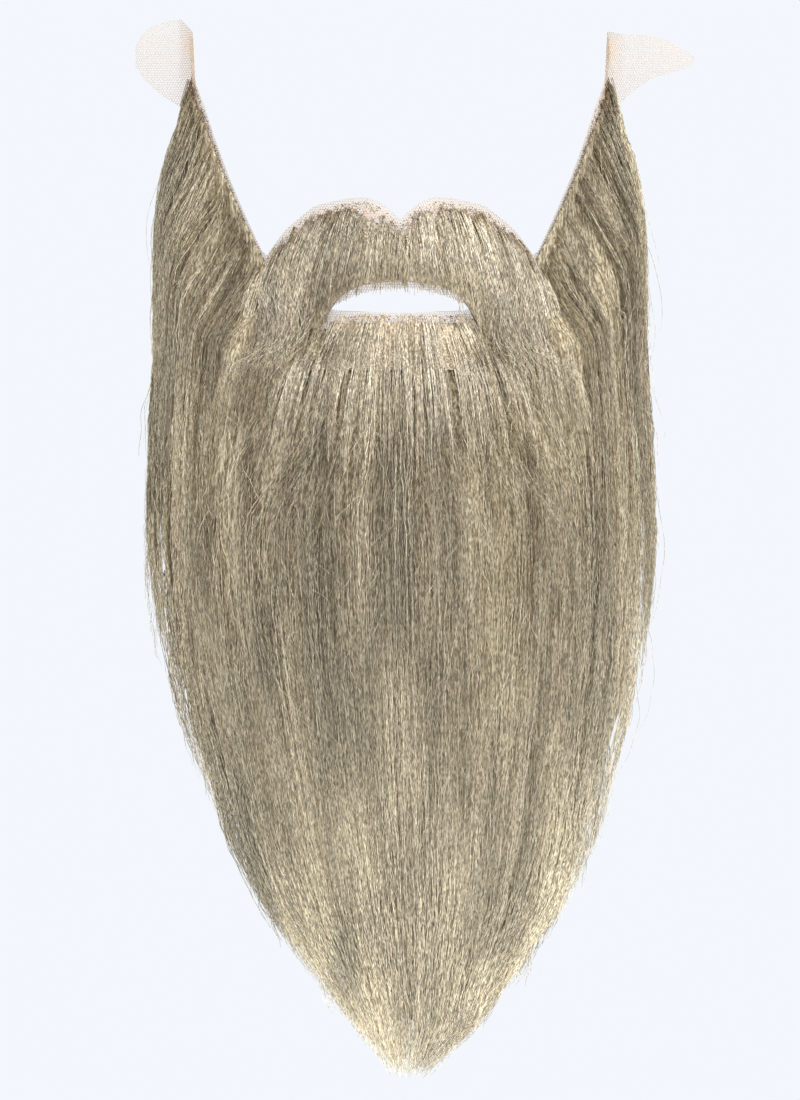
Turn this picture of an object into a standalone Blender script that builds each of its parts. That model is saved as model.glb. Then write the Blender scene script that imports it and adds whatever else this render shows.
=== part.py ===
"""A full lace fake beard: moustache, lip patch, sideburns and a long pointed chin beard.

Sizes and tables are in millimetres, and the meshes are made in metres. X runs to the
viewer's right, Z up, and the beard faces -Y. The origin is the inner face of the lace at the
middle of the upper lip. Angles are in degrees round the head from the front, with the
right-hand side positive.
"""

import math
from collections import namedtuple

import bmesh
import bpy
import numpy as np

# Driving sizes
MM = 0.001
HEAD_AXIS_Y = 95.0  # depth of the ear line behind the lip
LACE_WALL = 1.0
LACE_MARGIN = 3.5  # bare lace above the hairline
LACE_ROWS = 10
PIECE_GAP = 0.7  # hair to lace
LEAST_GAP = 0.4  # what any hair keeps to the lace
HAIR_GAP = 0.5  # hair to neighbouring hair
SEAM_OVERLAP = 1.8  # what the chin beard has past its seam before it is cut back
JAW_Z = -62.0
JAW_RISE = 37.0  # how far the jaw climbs from the chin to the ear
JAW_RISE_POWER = 1.2
JAW_RADIUS = 18.0
JAW_FADE_START = 48.0  # angle from which the lace turns in less and less under the jaw
JAW_FADE_END = 78.0
UNDER_JAW = 34.0  # how far the lace turns in under the chin
CHEEK_ANGLE = 44.0  # the low point of the hairline, between the moustache and the sideburn
FACE_SEAM = 45.0  # the angle where the sideburn meets the chin beard on the face
MOUTH_HALF_WIDTH = 26.0
MOUTH_TOP = -13.0
MOUTH_CORNER = -20.0
MOUTH_BOTTOM = -21.5
MOUTH_CUT_FRONT = -20.0
MOUTH_CUT_REAR = 40.0
TAB_Y = 112.0  # plane of the two spare lace tabs at the ears
HAIR_REAR = 95.0  # angle where the hair ends at the ear
LOCK_DEPTH = 3.5  # how far the locks stand off the mass of hair
PATCH_DEPTH = 1.5  # the same on the moustache and under the lip
LOCK_SINK = 0.42  # share of a lock's thickness that lies below the outside of the hair
LOCK_AXIS_Y = 57.0  # the locks face away from a line at this depth
TIP_Z = -293.0
TIP_SCATTER = 0.06  # how unevenly the locks end, as a share of their length
WIDTH_SCATTER = 0.1
ROOT_HAIR = 3.0  # thickness of the hair where it leaves the lace
HAIR_START = LACE_WALL + PIECE_GAP + ROOT_HAIR
MOUSTACHE_RISE = 7.0  # how much thicker the moustache grows below its hairline
MOUSTACHE_RISE_RUN = 16.0
MOUSTACHE_LIFT = 1.5  # how far its ends lie over the hair below
MOUSTACHE_LEAVES = -16.0  # height from which it lies on the hair below
MOUSTACHE_BLEND = 26.0
LIP_RISE = 3.0
LIP_RISE_RUN = 10.0
LIP_LIFT = 1.0
LIP_LEAVES = -28.0
LIP_BLEND = 16.0
CHEEK_FILL = 30.0  # distance from the hairline to the full thickness of a sideburn
CHIN_FILL_TOP = -14.0
CHIN_FILL = 34.0
CONTACT_POINTS = 7
OUTER_POINTS = 9
INNER_POINTS = 6
UNDERSIDE_BLEND = 40.0  # drop over which the hair's underside leaves the lace's edge
PATCH_POINTS = 5
CHIN_SHARES = (-1, -0.86, -0.66, -0.5, -0.42, -0.2, 0, 0.2, 0.42, 0.5, 0.66, 0.86, 1)
SIDEBURN_ANGLES = (FACE_SEAM, 51.5, 61.5, 70, 79, 88, HAIR_REAR)
SIDEBURN_FRONT_TOP = -5.0
MOUSTACHE_ANGLES = (0.35, 5, 10, 17, 25, 35, 43.2)
FLAT_ANGLE = 2.0  # faces that turn less than this are made one
SHARP_ANGLE = 40.0
SEED = 41

# The head that the lace is shaped to
HeadSection = namedtuple("HeadSection", "z half_width front_y")
HEAD = (
    HeadSection(92, 77.0, 7.0),
    HeadSection(63, 75.5, 4.0),
    HeadSection(30, 72.5, 1.0),
    HeadSection(8, 70.0, 0.0),
    HeadSection(-12, 67.0, 0.0),
    HeadSection(-30, 62.0, 0.0),
    HeadSection(-48, 55.0, 1.5),
    HeadSection(-75, 44.0, 6.0),
)

# Where the hair starts on each side of the face, and where the lace ends behind it
Hairline = namedtuple("Hairline", "angle z")
HAIRLINE = (
    Hairline(0, 8.0),
    Hairline(5, 13.5),
    Hairline(10, 16.0),
    Hairline(17, 15.0),
    Hairline(25, 13.0),
    Hairline(35, 5.0),
    Hairline(44, -4.6),
    Hairline(51.5, 12.0),
    Hairline(61.5, 34.0),
    Hairline(70, 52.0),
    Hairline(79, 63.0),
    Hairline(88, 66.0),
    Hairline(98, 66.0),
)
LaceTop = namedtuple("LaceTop", "angle lift")
LACE_TOP = (LaceTop(79, 0.0), LaceTop(88, 8.0), LaceTop(98, 16.0))
LaceRear = namedtuple("LaceRear", "angle z")
LACE_REAR = (LaceRear(70, -39.0), LaceRear(79, -14.0), LaceRear(88, 8.0), LaceRear(98, 50.0))

# The spare lace tabs, from the head outwards
TabSection = namedtuple("TabSection", "x low high")
RIGHT_TAB = (
    TabSection(82.0, 60.5, 85.0),
    TabSection(87.5, 65.0, 84.7),
    TabSection(93.0, 68.7, 84.2),
    TabSection(99.0, 70.5, 82.5),
    TabSection(104.5, 72.0, 79.3),
    TabSection(108.5, 74.2, 77.0),
)
LEFT_TAB = (
    TabSection(81.0, 58.0, 90.5),
    TabSection(86.0, 61.0, 89.5),
    TabSection(91.0, 65.0, 88.0),
    TabSection(95.0, 69.0, 85.0),
    TabSection(97.5, 73.0, 80.5),
)

# The outside of the hair as a whole, and how thick it hangs below the jaw
HairSection = namedtuple("HairSection", "z half_width front_y widest_y front_wall side_wall")
HAIR = (
    HairSection(70, 77.6, 0, 95, 5, 2),
    HairSection(59, 79.1, -2, 95, 5, 3),
    HairSection(48, 82.3, -4, 95, 5, 6),
    HairSection(37, 85.3, -6, 95, 8, 9),
    HairSection(27, 86.9, -8, 95, 8, 11.5),
    HairSection(16, 88.7, -9, 95, 8, 14),
    HairSection(5, 89.4, -10, 95, 9, 16),
    HairSection(-16, 89.8, -10, 95, 10, 18),
    HairSection(-37, 89.6, -16, 93, 16, 20),
    HairSection(-59, 90.9, -23, 88, 60, 21),
    HairSection(-80, 91.4, -27, 81, 56, 22),
    HairSection(-102, 91.7, -29, 74, 44, 22),
    HairSection(-123, 89.8, -29, 68, 36, 21),
    HairSection(-145, 85.9, -27, 61, 30, 19),
    HairSection(-166, 80.5, -24, 54, 25, 17),
    HairSection(-187, 72.8, -21, 47, 21, 15),
    HairSection(-209, 65.9, -17, 38, 18, 13),
    HairSection(-230, 54.8, -13, 29, 15, 11),
    HairSection(-252, 38.4, -9, 20, 12, 9),
    HairSection(-273, 22.8, -5, 12, 9, 7),
    HairSection(TIP_Z, 3.0, -1, 4, 5, 3),
)

# The seam between the chin beard and each sideburn
Seam = namedtuple("Seam", "z angle")
SEAM = (
    Seam(-66, FACE_SEAM),
    Seam(-80, 50.0),
    Seam(-110, 68.0),
    Seam(-135, 85.0),
    Seam(-150, 95.0),
)

# Upper and lower edges of the hair of each part, by angle
ChinTop = namedtuple("ChinTop", "angle z")
CHIN_TOP = (ChinTop(0, -35.0), ChinTop(19.5, -35.0), ChinTop(22, -24.0), ChinTop(45, -23.0))
ChinBottom = namedtuple("ChinBottom", "share z")
CHIN_BOTTOM = (
    ChinBottom(0.0, -274.0),
    ChinBottom(0.3, -262.0),
    ChinBottom(0.5, -246.0),
    ChinBottom(0.7, -222.0),
    ChinBottom(0.85, -196.0),
    ChinBottom(1.0, -160.0),
)
MoustacheEdge = namedtuple("MoustacheEdge", "angle low")
MOUSTACHE_EDGE = (
    MoustacheEdge(0, -11.0),
    MoustacheEdge(10, -12.0),
    MoustacheEdge(17, -15.0),
    MoustacheEdge(25, -20.0),
    MoustacheEdge(35, -22.0),
    MoustacheEdge(44, -22.0),
)
LIP_TOP = -22.5
LIP_BOTTOM = -34.0
LIP_HALF_ANGLE = 19.0
SIDEBURN_BOTTOM = -138.0

# Locks laid on the hair, one row for each group of locks
Locks = namedtuple(
    "Locks",
    "count root_angle last_root_angle root_z last_root_z "
    "tip_angle last_tip_angle tip_z last_tip_z width thickness",
)
CHIN_LOCKS = (
    Locks(5, -34, 34, -46, -46, -40, 40, -150, -150, 22, 8),
    Locks(6, -58, 58, -104, -104, -60, 60, -212, -212, 22, 8),
    Locks(3, -30, 30, -178, -178, -38, 38, -254, -254, 16, 7),
)
OUTLINE_LOCKS = Locks(6, 76, 10, -96, -205, 88, 52, -168, -287, 18, 7)
CENTRE_LOCK = Locks(1, 0, 0, -215, -215, 0, 0, TIP_Z, TIP_Z, 14, 6)
SIDEBURN_LOCKS = (
    Locks(3, 61, 79, 32, 58, 80, 92, -36, -10, 19, 6),
    Locks(3, 51, 62, -2, 26, 58, 78, -76, -66, 20, 7),
    Locks(3, 68, 92, -26, 0, 78, 94, -126, -112, 22, 7),
    Locks(1, 92, 92, -84, -84, 94, 94, -156, -156, 16, 6),
)
MOUSTACHE_LOCKS = (
    Locks(3, 4, 17, 10, 13, 8, 24, -13, -21, 11, 6),
    Locks(3, 21, 40, 13, 0, 34, 49, -48, -66, 16, 6),
)
LIP_LOCKS = Locks(4, -14, 14, -24, -24, -21, 21, -62, -62, 13, 5)
LOCK_STATIONS = (0.0, 0.2, 0.48, 0.74, 0.91, 1.0)
LOCK_WIDTHS = (0.55, 0.93, 1.0, 0.76, 0.4, 0.06)
LEAST_THICKNESS = 0.15  # of a lock at its tip, as a share
LOCK_SIDES = ((-0.5, 0.0), (-0.24, 0.45), (0.24, 0.45), (0.5, 0.0), (0.0, -0.6))

Finish = namedtuple("Finish", "color roughness")
LACE_FINISH = Finish((0.78, 0.62, 0.47), 0.7)
HAIR_FINISHES = {
    "moustache": Finish((0.42, 0.36, 0.27), 0.55),
    "lip_patch": Finish((0.44, 0.37, 0.27), 0.55),
    "sideburn": Finish((0.35, 0.31, 0.23), 0.55),
    "chin_beard": Finish((0.31, 0.27, 0.19), 0.55),
}


def read(table, key, column, at):
    """Straight-line reading of one column of a table at a value of its key column."""
    rows = sorted(table, key=lambda row: getattr(row, key))
    keys = [getattr(row, key) for row in rows]
    return float(np.interp(at, keys, [getattr(row, column) for row in rows]))


def smooth(share):
    """Eases a share from 0 to 1."""
    share = min(max(share, 0.0), 1.0)
    return share * share * (3 - 2 * share)


def mix(start, end, share):
    return start + (end - start) * share


def clear_scene():
    for item in list(bpy.data.objects):
        bpy.data.objects.remove(item, do_unlink=True)


def make_material(name, finish):
    material = bpy.data.materials.new(name)
    material.use_nodes = True
    shader = material.node_tree.nodes["Principled BSDF"]
    shader.inputs["Base Color"].default_value = (*finish.color, 1.0)
    shader.inputs["Roughness"].default_value = finish.roughness
    return material


def make_object(name, points, faces, finish=None):
    """A mesh object of triangles from points in millimetres, with its faces turned outwards."""
    mesh = bpy.data.meshes.new(name)
    mesh.from_pydata([tuple(float(v) * MM for v in point) for point in points], [], faces)
    body = bmesh.new()
    body.from_mesh(mesh)
    bmesh.ops.triangulate(body, faces=body.faces)
    bmesh.ops.recalc_face_normals(body, faces=body.faces)
    body.to_mesh(mesh)
    body.free()
    made = bpy.data.objects.new(name, mesh)
    bpy.context.scene.collection.objects.link(made)
    if finish:
        mesh.materials.append(make_material(name, finish))
    return made


def loft_faces(rings, size, closed_ring=True):
    """Quads between neighbouring rings of points, and a face over each end ring."""
    faces = []
    for ring in range(rings - 1):
        for k in range(size if closed_ring else size - 1):
            after = (k + 1) % size
            faces.append(
                (ring * size + k, ring * size + after, (ring + 1) * size + after, (ring + 1) * size + k)
            )
    if closed_ring:
        faces.append(tuple(range(size)))
        faces.append(tuple((rings - 1) * size + k for k in range(size)))
    return faces


# The lace


def head_plan(angle, z, inward=0.0):
    """A point on the head at an angle and height, moved in towards the head's axis."""
    half_width = read(HEAD, "z", "half_width", z)
    depth = HEAD_AXIS_Y - read(HEAD, "z", "front_y", z)
    x = half_width * math.sin(math.radians(angle))
    y = -depth * math.cos(math.radians(angle))
    keep = 1 - inward / math.hypot(x, y)
    return np.array((x * keep, HEAD_AXIS_Y + y * keep, z))


def lace_route(angle):
    """The lace's way from its top edge down the face and in under the jaw, as (inward, z)."""
    side = abs(angle)
    top = read(HAIRLINE, "angle", "z", side) + LACE_MARGIN + read(LACE_TOP, "angle", "lift", side)
    fade = smooth((JAW_FADE_END - side) / (JAW_FADE_END - JAW_FADE_START))
    radius = max(JAW_RADIUS * fade, 0.5)
    jaw = JAW_Z + JAW_RISE * (1 - math.cos(math.radians(side))) ** JAW_RISE_POWER
    if side >= LACE_REAR[0].angle:
        jaw = read(LACE_REAR, "angle", "z", side)
    points = [(0.0, z) for z in np.linspace(top, jaw + radius, 14)]
    for turn in np.linspace(0, 90, 9)[1:]:
        swing = math.radians(turn)
        points.append((radius * (1 - math.cos(swing)), jaw + radius * (1 - math.sin(swing))))
    reach = UNDER_JAW * fade
    if reach > radius + 1:
        points += [(inward, jaw) for inward in np.linspace(radius, reach, 5)[1:]]
    return np.array(points)


def route_at(angle, length):
    """The (inward, z) of the lace a length down its route, and the length of the route."""
    route = lace_route(angle)
    steps = np.concatenate(([0.0], np.cumsum(np.hypot(*np.diff(route, axis=0).T))))
    length = min(max(length, 0.0), steps[-1])
    return [float(np.interp(length, steps, route[:, k])) for k in (0, 1)], float(steps[-1])


def lace_point(angle, length, out=0.0):
    """A point a length down the lace at an angle, standing out from its inner face."""
    (inward, z), total = route_at(angle, length)
    point = head_plan(angle, z, inward)
    if not out:
        return point
    step = 0.8
    before, after = max(length - step, 0), min(length + step, total)
    down = head_plan(angle, *reversed(route_at(angle, after)[0]))
    down = down - head_plan(angle, *reversed(route_at(angle, before)[0]))
    along = head_plan(angle + step, z, inward) - head_plan(angle - step, z, inward)
    normal = np.cross(down, along)
    return point + normal / np.linalg.norm(normal) * out


def lace_columns():
    """Columns of points on the inner face of the lace, from the left tab to the right one."""
    angles = [row.angle for row in HAIRLINE]
    angles = [-angle for angle in reversed(angles[1:])] + angles
    shares = np.linspace(0, 1, LACE_ROWS - 1)
    columns = []
    for angle in angles:
        total = route_at(angle, 0)[1]
        lengths = [0.0] + [mix(LACE_MARGIN, total, share) for share in shares]
        columns.append([lace_point(angle, length) for length in lengths])
    right = [tab_column(section, 1) for section in RIGHT_TAB]
    left = [tab_column(section, -1) for section in LEFT_TAB]
    return left[::-1] + columns + right


def tab_column(section, side):
    heights = np.linspace(section.high, section.low, LACE_ROWS)
    return [np.array((side * section.x, TAB_Y, z)) for z in heights]


def make_mouth_cutter():
    """A bar with the outline of the mouth opening, which passes through the lace."""
    across = np.linspace(-MOUTH_HALF_WIDTH, MOUTH_HALF_WIDTH, 7)
    bow = [1 - (x / MOUTH_HALF_WIDTH) ** 2 for x in across]
    upper = [(x, mix(MOUTH_CORNER, MOUTH_TOP, rise)) for x, rise in zip(across, bow)]
    lower = [(x, mix(MOUTH_CORNER, MOUTH_BOTTOM, rise)) for x, rise in zip(across, bow)]
    outline = upper + lower[-2:0:-1]
    points = [(x, y, z) for y in (MOUTH_CUT_FRONT, MOUTH_CUT_REAR) for x, z in outline]
    cutter = make_object("mouth_cutter", points, loft_faces(2, len(outline)))
    hide(cutter)
    return cutter


def hide(guide):
    guide.hide_render = True
    guide.display_type = "WIRE"


def make_lace_wall(name, inner, outer, past_edge=0.0, finish=None):
    """The lace as a closed wall between two distances from its inner face."""
    columns = lace_columns()
    for column in columns:
        edge_run = column[-1] - column[-2]
        column[-1] = column[-1] + edge_run / np.linalg.norm(edge_run) * past_edge
    points = [point for column in columns for point in column]
    faces = loft_faces(len(columns), LACE_ROWS, closed_ring=False)
    lace = make_object(name, points, faces, finish)
    lace.data.shade_smooth()
    face_away_from_head(lace)
    wall = lace.modifiers.new("wall", "SOLIDIFY")
    wall.thickness = (outer - inner) * MM
    wall.offset = (outer + inner) / (outer - inner)
    wall.use_even_offset = True
    return lace


def make_lace_clearance():
    """The room that the hair leaves for the lace."""
    room = make_lace_wall("lace_clearance", -LACE_WALL, LACE_WALL + LEAST_GAP, 2 * LEAST_GAP)
    hide(room)
    collection = bpy.data.collections.new("lace_clearance")
    collection.objects.link(room)
    return collection


def make_lace():
    lace = make_lace_wall("lace_base", 0.0, LACE_WALL, finish=LACE_FINISH)
    mouth = lace.modifiers.new("mouth", "BOOLEAN")
    mouth.operation = "DIFFERENCE"
    mouth.object = make_mouth_cutter()
    return lace


def face_away_from_head(sheet):
    """Turns an open sheet so that its front at the chin faces the viewer."""
    front = min(sheet.data.polygons, key=lambda face: face.center.y)
    if front.normal.y > 0:
        sheet.data.flip_normals()


# The hair as a whole


def hair_section(z, column):
    return read(HAIR, "z", column, z)


def hair_outside(angle, z, sunk=0.0):
    """A point on the outside of the hanging hair, sunk towards its axis."""
    axis = hair_section(z, "widest_y")
    half_width = max(hair_section(z, "half_width") - sunk, 1.0)
    depth = max(axis - hair_section(z, "front_y") - sunk, 1.0)
    swing = math.radians(angle)
    return np.array((half_width * math.sin(swing), axis - depth * math.cos(swing), z))


def hair_inside(angle, z):
    """A point on the inside of the hanging hair."""
    axis = hair_section(z, "widest_y")
    half_width = hair_section(z, "half_width") - hair_section(z, "side_wall")
    depth = axis - hair_section(z, "front_y") - hair_section(z, "front_wall")
    swing = math.radians(angle)
    half_width, depth = max(half_width, 0.5), max(depth, 0.5)
    return np.array((half_width * math.sin(swing), axis - depth * math.cos(swing), z))


def hairline_distance(angle, z):
    """The distance round the head from a point to the hairline of the cheek."""
    here = np.array((HEAD[1].half_width * math.radians(abs(angle)), z))
    line = [
        np.array((HEAD[1].half_width * math.radians(row.angle), row.z))
        for row in HAIRLINE
        if row.angle >= CHEEK_ANGLE
    ]
    best = math.inf
    for start, end in zip(line, line[1:]):
        run = end - start
        share = min(max(float((here - start) @ run / (run @ run)), 0.0), 1.0)
        best = min(best, float(np.linalg.norm(here - start - run * share)))
    return best


def on_head(angle, z, out):
    """A point standing out level from the head at an angle and height."""
    point = head_plan(angle, z)
    away = point - np.array((0.0, HEAD_AXIS_Y, z))
    return point + away / np.linalg.norm(away) * out


def cheek_outside(angle, z, sunk=0.0):
    """The outside of a sideburn: thin at the hairline, and full at the side of the face."""
    thin = on_head(angle, z, HAIR_START)
    fullness = smooth(hairline_distance(angle, z) / CHEEK_FILL)
    return mix(thin, hair_outside(angle, z, sunk), fullness)


def chin_outside(angle, z, sunk=0.0):
    """The outside of the chin beard: thin under the lip, and full from the chin down."""
    thin = on_head(angle, z, HAIR_START)
    return mix(thin, hair_outside(angle, z, sunk), smooth((CHIN_FILL_TOP - z) / CHIN_FILL))


def moustache_outside(angle, z, sunk=0.0):
    """The outside of the moustache, whose lower end runs out over the hair below it."""
    below = read(HAIRLINE, "angle", "z", abs(angle)) - z
    rise = MOUSTACHE_RISE * smooth(below / MOUSTACHE_RISE_RUN)
    own = on_head(angle, z, HAIR_START + rise - sunk)
    over = chin_outside(angle, z, sunk - MOUSTACHE_LIFT)
    return mix(own, over, smooth((MOUSTACHE_LEAVES - z) / MOUSTACHE_BLEND))


def lip_outside(angle, z, sunk=0.0):
    """The outside of the lip patch, whose lower end lies on the chin beard."""
    rise = LIP_RISE * smooth((LIP_TOP - z) / LIP_RISE_RUN)
    own = on_head(angle, z, HAIR_START + rise - sunk)
    over = chin_outside(angle, z, sunk - LIP_LIFT)
    return mix(own, over, smooth((LIP_LEAVES - z) / LIP_BLEND))


# Masses of hair, lofted through a profile for each column


def lace_contact(angle, top, bottom, count):
    """Points just off the outer face of the lace, from the height top down to bottom."""
    route = lace_route(angle)
    steps = np.concatenate(([0.0], np.cumsum(np.hypot(*np.diff(route, axis=0).T))))
    start = float(np.interp(-top, -route[:, 1], steps))
    end = steps[-1] if bottom is None else float(np.interp(-bottom, -route[:, 1], steps))
    return [
        lace_point(angle, length, LACE_WALL + PIECE_GAP) for length in np.linspace(start, end, count)
    ]


def hanging_profile(angle_at, top, bottom, outside):
    """One closed profile of hair that lies on the lace and hangs below its lower edge."""
    contact = lace_contact(angle_at(top), top, None, CONTACT_POINTS)
    edge = contact[-1]
    outer = [outside(angle_at(z), z, LOCK_DEPTH) for z in np.linspace(top, bottom, OUTER_POINTS)]
    inner = []
    for z in np.linspace(edge[2], bottom, INNER_POINTS)[1:]:
        share = smooth((edge[2] - z) / UNDERSIDE_BLEND)
        hang = hair_inside(angle_at(z), z)
        start = np.array((edge[0], edge[1], z))
        inner.append(mix(start, hang, share))
    return outer + inner[::-1] + contact[::-1]


def patch_profile(angle, top, bottom, outside):
    """One closed profile of a patch of hair that lies wholly on the lace."""
    contact = lace_contact(angle, top, bottom, PATCH_POINTS - 1)
    outer = [outside(angle, z, PATCH_DEPTH) for z in np.linspace(top, bottom, PATCH_POINTS)]
    return outer + contact[::-1]


def loft(name, profiles, finish):
    points = [point for profile in profiles for point in profile]
    return make_object(name, points, loft_faces(len(profiles), len(profiles[0])), finish)


def seam_angle(z):
    return read(SEAM, "z", "angle", z)


def arc_angle(length, z):
    """The angle that a length takes up round the outside of the hair."""
    return math.degrees(length / hair_section(z, "half_width"))


def chin_mass():
    profiles = []
    for share in CHIN_SHARES:

        def angle_at(z, share=share):
            return share * (seam_angle(z) + arc_angle(SEAM_OVERLAP, z))

        top = read(CHIN_TOP, "angle", "z", abs(share) * FACE_SEAM)
        bottom = read(CHIN_BOTTOM, "share", "z", abs(share))
        profiles.append(hanging_profile(angle_at, top, bottom, chin_outside))
    return loft("chin_beard", profiles, HAIR_FINISHES["chin_beard"])


def sideburn_mass(name, side):
    profiles = []
    for angle in SIDEBURN_ANGLES:
        share = (angle - FACE_SEAM) / (HAIR_REAR - FACE_SEAM)

        def angle_at(z, share=share):
            return side * mix(seam_angle(z), HAIR_REAR, share)

        top = read(HAIRLINE, "angle", "z", angle) if angle > FACE_SEAM else SIDEBURN_FRONT_TOP
        profiles.append(hanging_profile(angle_at, top, SIDEBURN_BOTTOM, cheek_outside))
    return loft(name, profiles, HAIR_FINISHES["sideburn"])


def moustache_mass(name, side):
    profiles = []
    for angle in MOUSTACHE_ANGLES:
        top = read(HAIRLINE, "angle", "z", angle)
        low = read(MOUSTACHE_EDGE, "angle", "low", angle)
        profiles.append(patch_profile(side * angle, top, low, moustache_outside))
    return loft(name, profiles, HAIR_FINISHES["moustache"])


def lip_mass():
    angles = np.linspace(-LIP_HALF_ANGLE, LIP_HALF_ANGLE, 5)
    profiles = [patch_profile(angle, LIP_TOP, LIP_BOTTOM, lip_outside) for angle in angles]
    return loft("lip_patch", profiles, HAIR_FINISHES["lip_patch"])


# Locks


def lock_rings(start, end, outside, width, thickness, grow):
    """Rings of points along one lock, from (angle, z) at its root to (angle, z) at its tip."""
    centres = []
    for share in LOCK_STATIONS:
        angle = mix(start[0], end[0], (smooth(share) + share) / 2)
        centres.append(outside(angle, mix(start[1], end[1], share), thickness * LOCK_SINK))
    axis = np.array((0.0, LOCK_AXIS_Y, 0.0))
    rings = []
    for k, centre in enumerate(centres):
        along = centres[min(k + 1, len(centres) - 1)] - centres[max(k - 1, 0)]
        along = along / np.linalg.norm(along)
        out = (centre - axis) * (1, 1, 0)
        out = out - along * (out @ along)
        out = out / np.linalg.norm(out)
        across = np.cross(along, out)
        wide = width * LOCK_WIDTHS[k] + 2 * grow
        thick = thickness * max(LOCK_WIDTHS[k], LEAST_THICKNESS) + 2 * grow
        reach = grow * (-1 if k == 0 else 1 if k == len(centres) - 1 else 0)
        rings.append(
            [centre + along * reach + across * (wide * u) + out * (thick * v) for u, v in LOCK_SIDES]
        )
    return rings


def lock_list(group, side, outside, rng):
    """The start, end and size of each lock in a group, with a little variation."""
    made = []
    for k in range(group.count):
        share = k / max(group.count - 1, 1)
        sway, drop, wide = rng.uniform(-1, 1, 3)
        start = (
            side * (mix(group.root_angle, group.last_root_angle, share) + sway),
            mix(group.root_z, group.last_root_z, share),
        )
        tip_z = mix(group.tip_z, group.last_tip_z, share)
        if group.count > 1:
            tip_z += (start[1] - tip_z) * TIP_SCATTER * drop
        end = (side * (mix(group.tip_angle, group.last_tip_angle, share) - sway), tip_z)
        width = group.width * (1 + WIDTH_SCATTER * wide)
        made.append((start, end, outside, width, group.thickness))
    return made


def lock_collection(name, locks, grow=0.0):
    """One hidden object for each lock, in a collection that a Boolean reads."""
    collection = bpy.data.collections.new(name)
    bpy.context.scene.collection.children.link(collection)
    for k, (start, end, outside, width, thickness) in enumerate(locks):
        rings = lock_rings(start, end, outside, width, thickness, grow)
        points = [point for ring in rings for point in ring]
        lock = make_object(f"{name}_{k}", points, loft_faces(len(rings), len(LOCK_SIDES)))
        bpy.context.scene.collection.objects.unlink(lock)
        collection.objects.link(lock)
        hide(lock)
    return collection


def combine(mass, operation, collection):
    fused = mass.modifiers.new(collection.name, "BOOLEAN")
    fused.operation = operation
    fused.operand_type = "COLLECTION"
    fused.collection = collection
    fused.solver = "EXACT"


def settle(mass):
    """Turns the modifiers' result into the mesh, and keeps its main body."""
    depsgraph = bpy.context.evaluated_depsgraph_get()
    mesh = bpy.data.meshes.new_from_object(mass.evaluated_get(depsgraph))
    mass.modifiers.clear()
    body = bmesh.new()
    body.from_mesh(mesh)
    bmesh.ops.dissolve_limit(
        body, angle_limit=math.radians(FLAT_ANGLE), verts=body.verts, edges=body.edges
    )
    bmesh.ops.triangulate(body, faces=body.faces)
    main = set(largest_body(body))
    bmesh.ops.delete(body, geom=[v for v in body.verts if v not in main], context="VERTS")
    body.to_mesh(mesh)
    body.free()
    mesh.shade_smooth()
    mesh.set_sharp_from_angle(angle=math.radians(SHARP_ANGLE))
    mass.data = mesh


def largest_body(body):
    """The vertices of the largest connected piece of a bmesh."""
    waiting, best = set(body.verts), []
    while waiting:
        stack, found = [waiting.pop()], []
        while stack:
            vertex = stack.pop()
            found.append(vertex)
            for edge in vertex.link_edges:
                other = edge.other_vert(vertex)
                if other in waiting:
                    waiting.remove(other)
                    stack.append(other)
        if len(found) > len(best):
            best = found
    return best


def grown_copy(mass, name):
    """A copy of a mass of hair that stands off it by the gap, to cut its neighbours with."""
    copy = bpy.data.objects.new(name, mass.data.copy())
    bpy.context.scene.collection.objects.link(copy)
    for vertex in copy.data.vertices:
        vertex.co += vertex.normal * (HAIR_GAP * MM)
    hide(copy)
    return copy


def make_hair(rng):
    """Every part of the hair, the upper ones first, each cut clear of those above it."""
    parts = []
    for side, word in ((-1, "left"), (1, "right")):
        locks = [
            lock for group in MOUSTACHE_LOCKS for lock in lock_list(group, side, moustache_outside, rng)
        ]
        parts.append((moustache_mass(f"moustache_{word}", side), locks))
    parts.append((lip_mass(), lock_list(LIP_LOCKS, 1, lip_outside, rng)))
    for side, word in ((-1, "left"), (1, "right")):
        locks = [
            lock for group in SIDEBURN_LOCKS for lock in lock_list(group, side, cheek_outside, rng)
        ]
        parts.append((sideburn_mass(f"sideburn_{word}", side), locks))
    locks = [lock for group in CHIN_LOCKS for lock in lock_list(group, 1, chin_outside, rng)]
    for side in (-1, 1):
        locks += lock_list(OUTLINE_LOCKS, side, chin_outside, rng)
    locks += lock_list(CENTRE_LOCK, 1, chin_outside, rng)
    parts.append((chin_mass(), locks))
    return parts


def main():
    clear_scene()
    make_lace()
    cutters = [make_lace_clearance()]
    for mass, locks in make_hair(np.random.default_rng(SEED)):
        grown = lock_collection(f"{mass.name}_cutter", locks, HAIR_GAP)
        cutter = grown_copy(mass, f"{mass.name}_cutter_mass")
        bpy.context.scene.collection.objects.unlink(cutter)
        grown.objects.link(cutter)
        combine(mass, "UNION", lock_collection(f"{mass.name}_locks", locks))
        for above in cutters:
            combine(mass, "DIFFERENCE", above)
        settle(mass)
        cutters.append(grown)


if __name__ == "__main__":
    main()
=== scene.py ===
"""A full lace fake beard: a hexagonal net with its knots, and hair combed strand by strand.

Tables are in millimetres and degrees, as in the part's source, and meshes are in metres. X runs
to the viewer's right, Z up, and the beard faces -Y. Angles go round the face from the front,
with the right-hand side positive.
"""

import logging
import math
from dataclasses import dataclass, field, fields
from enum import Enum

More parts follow.
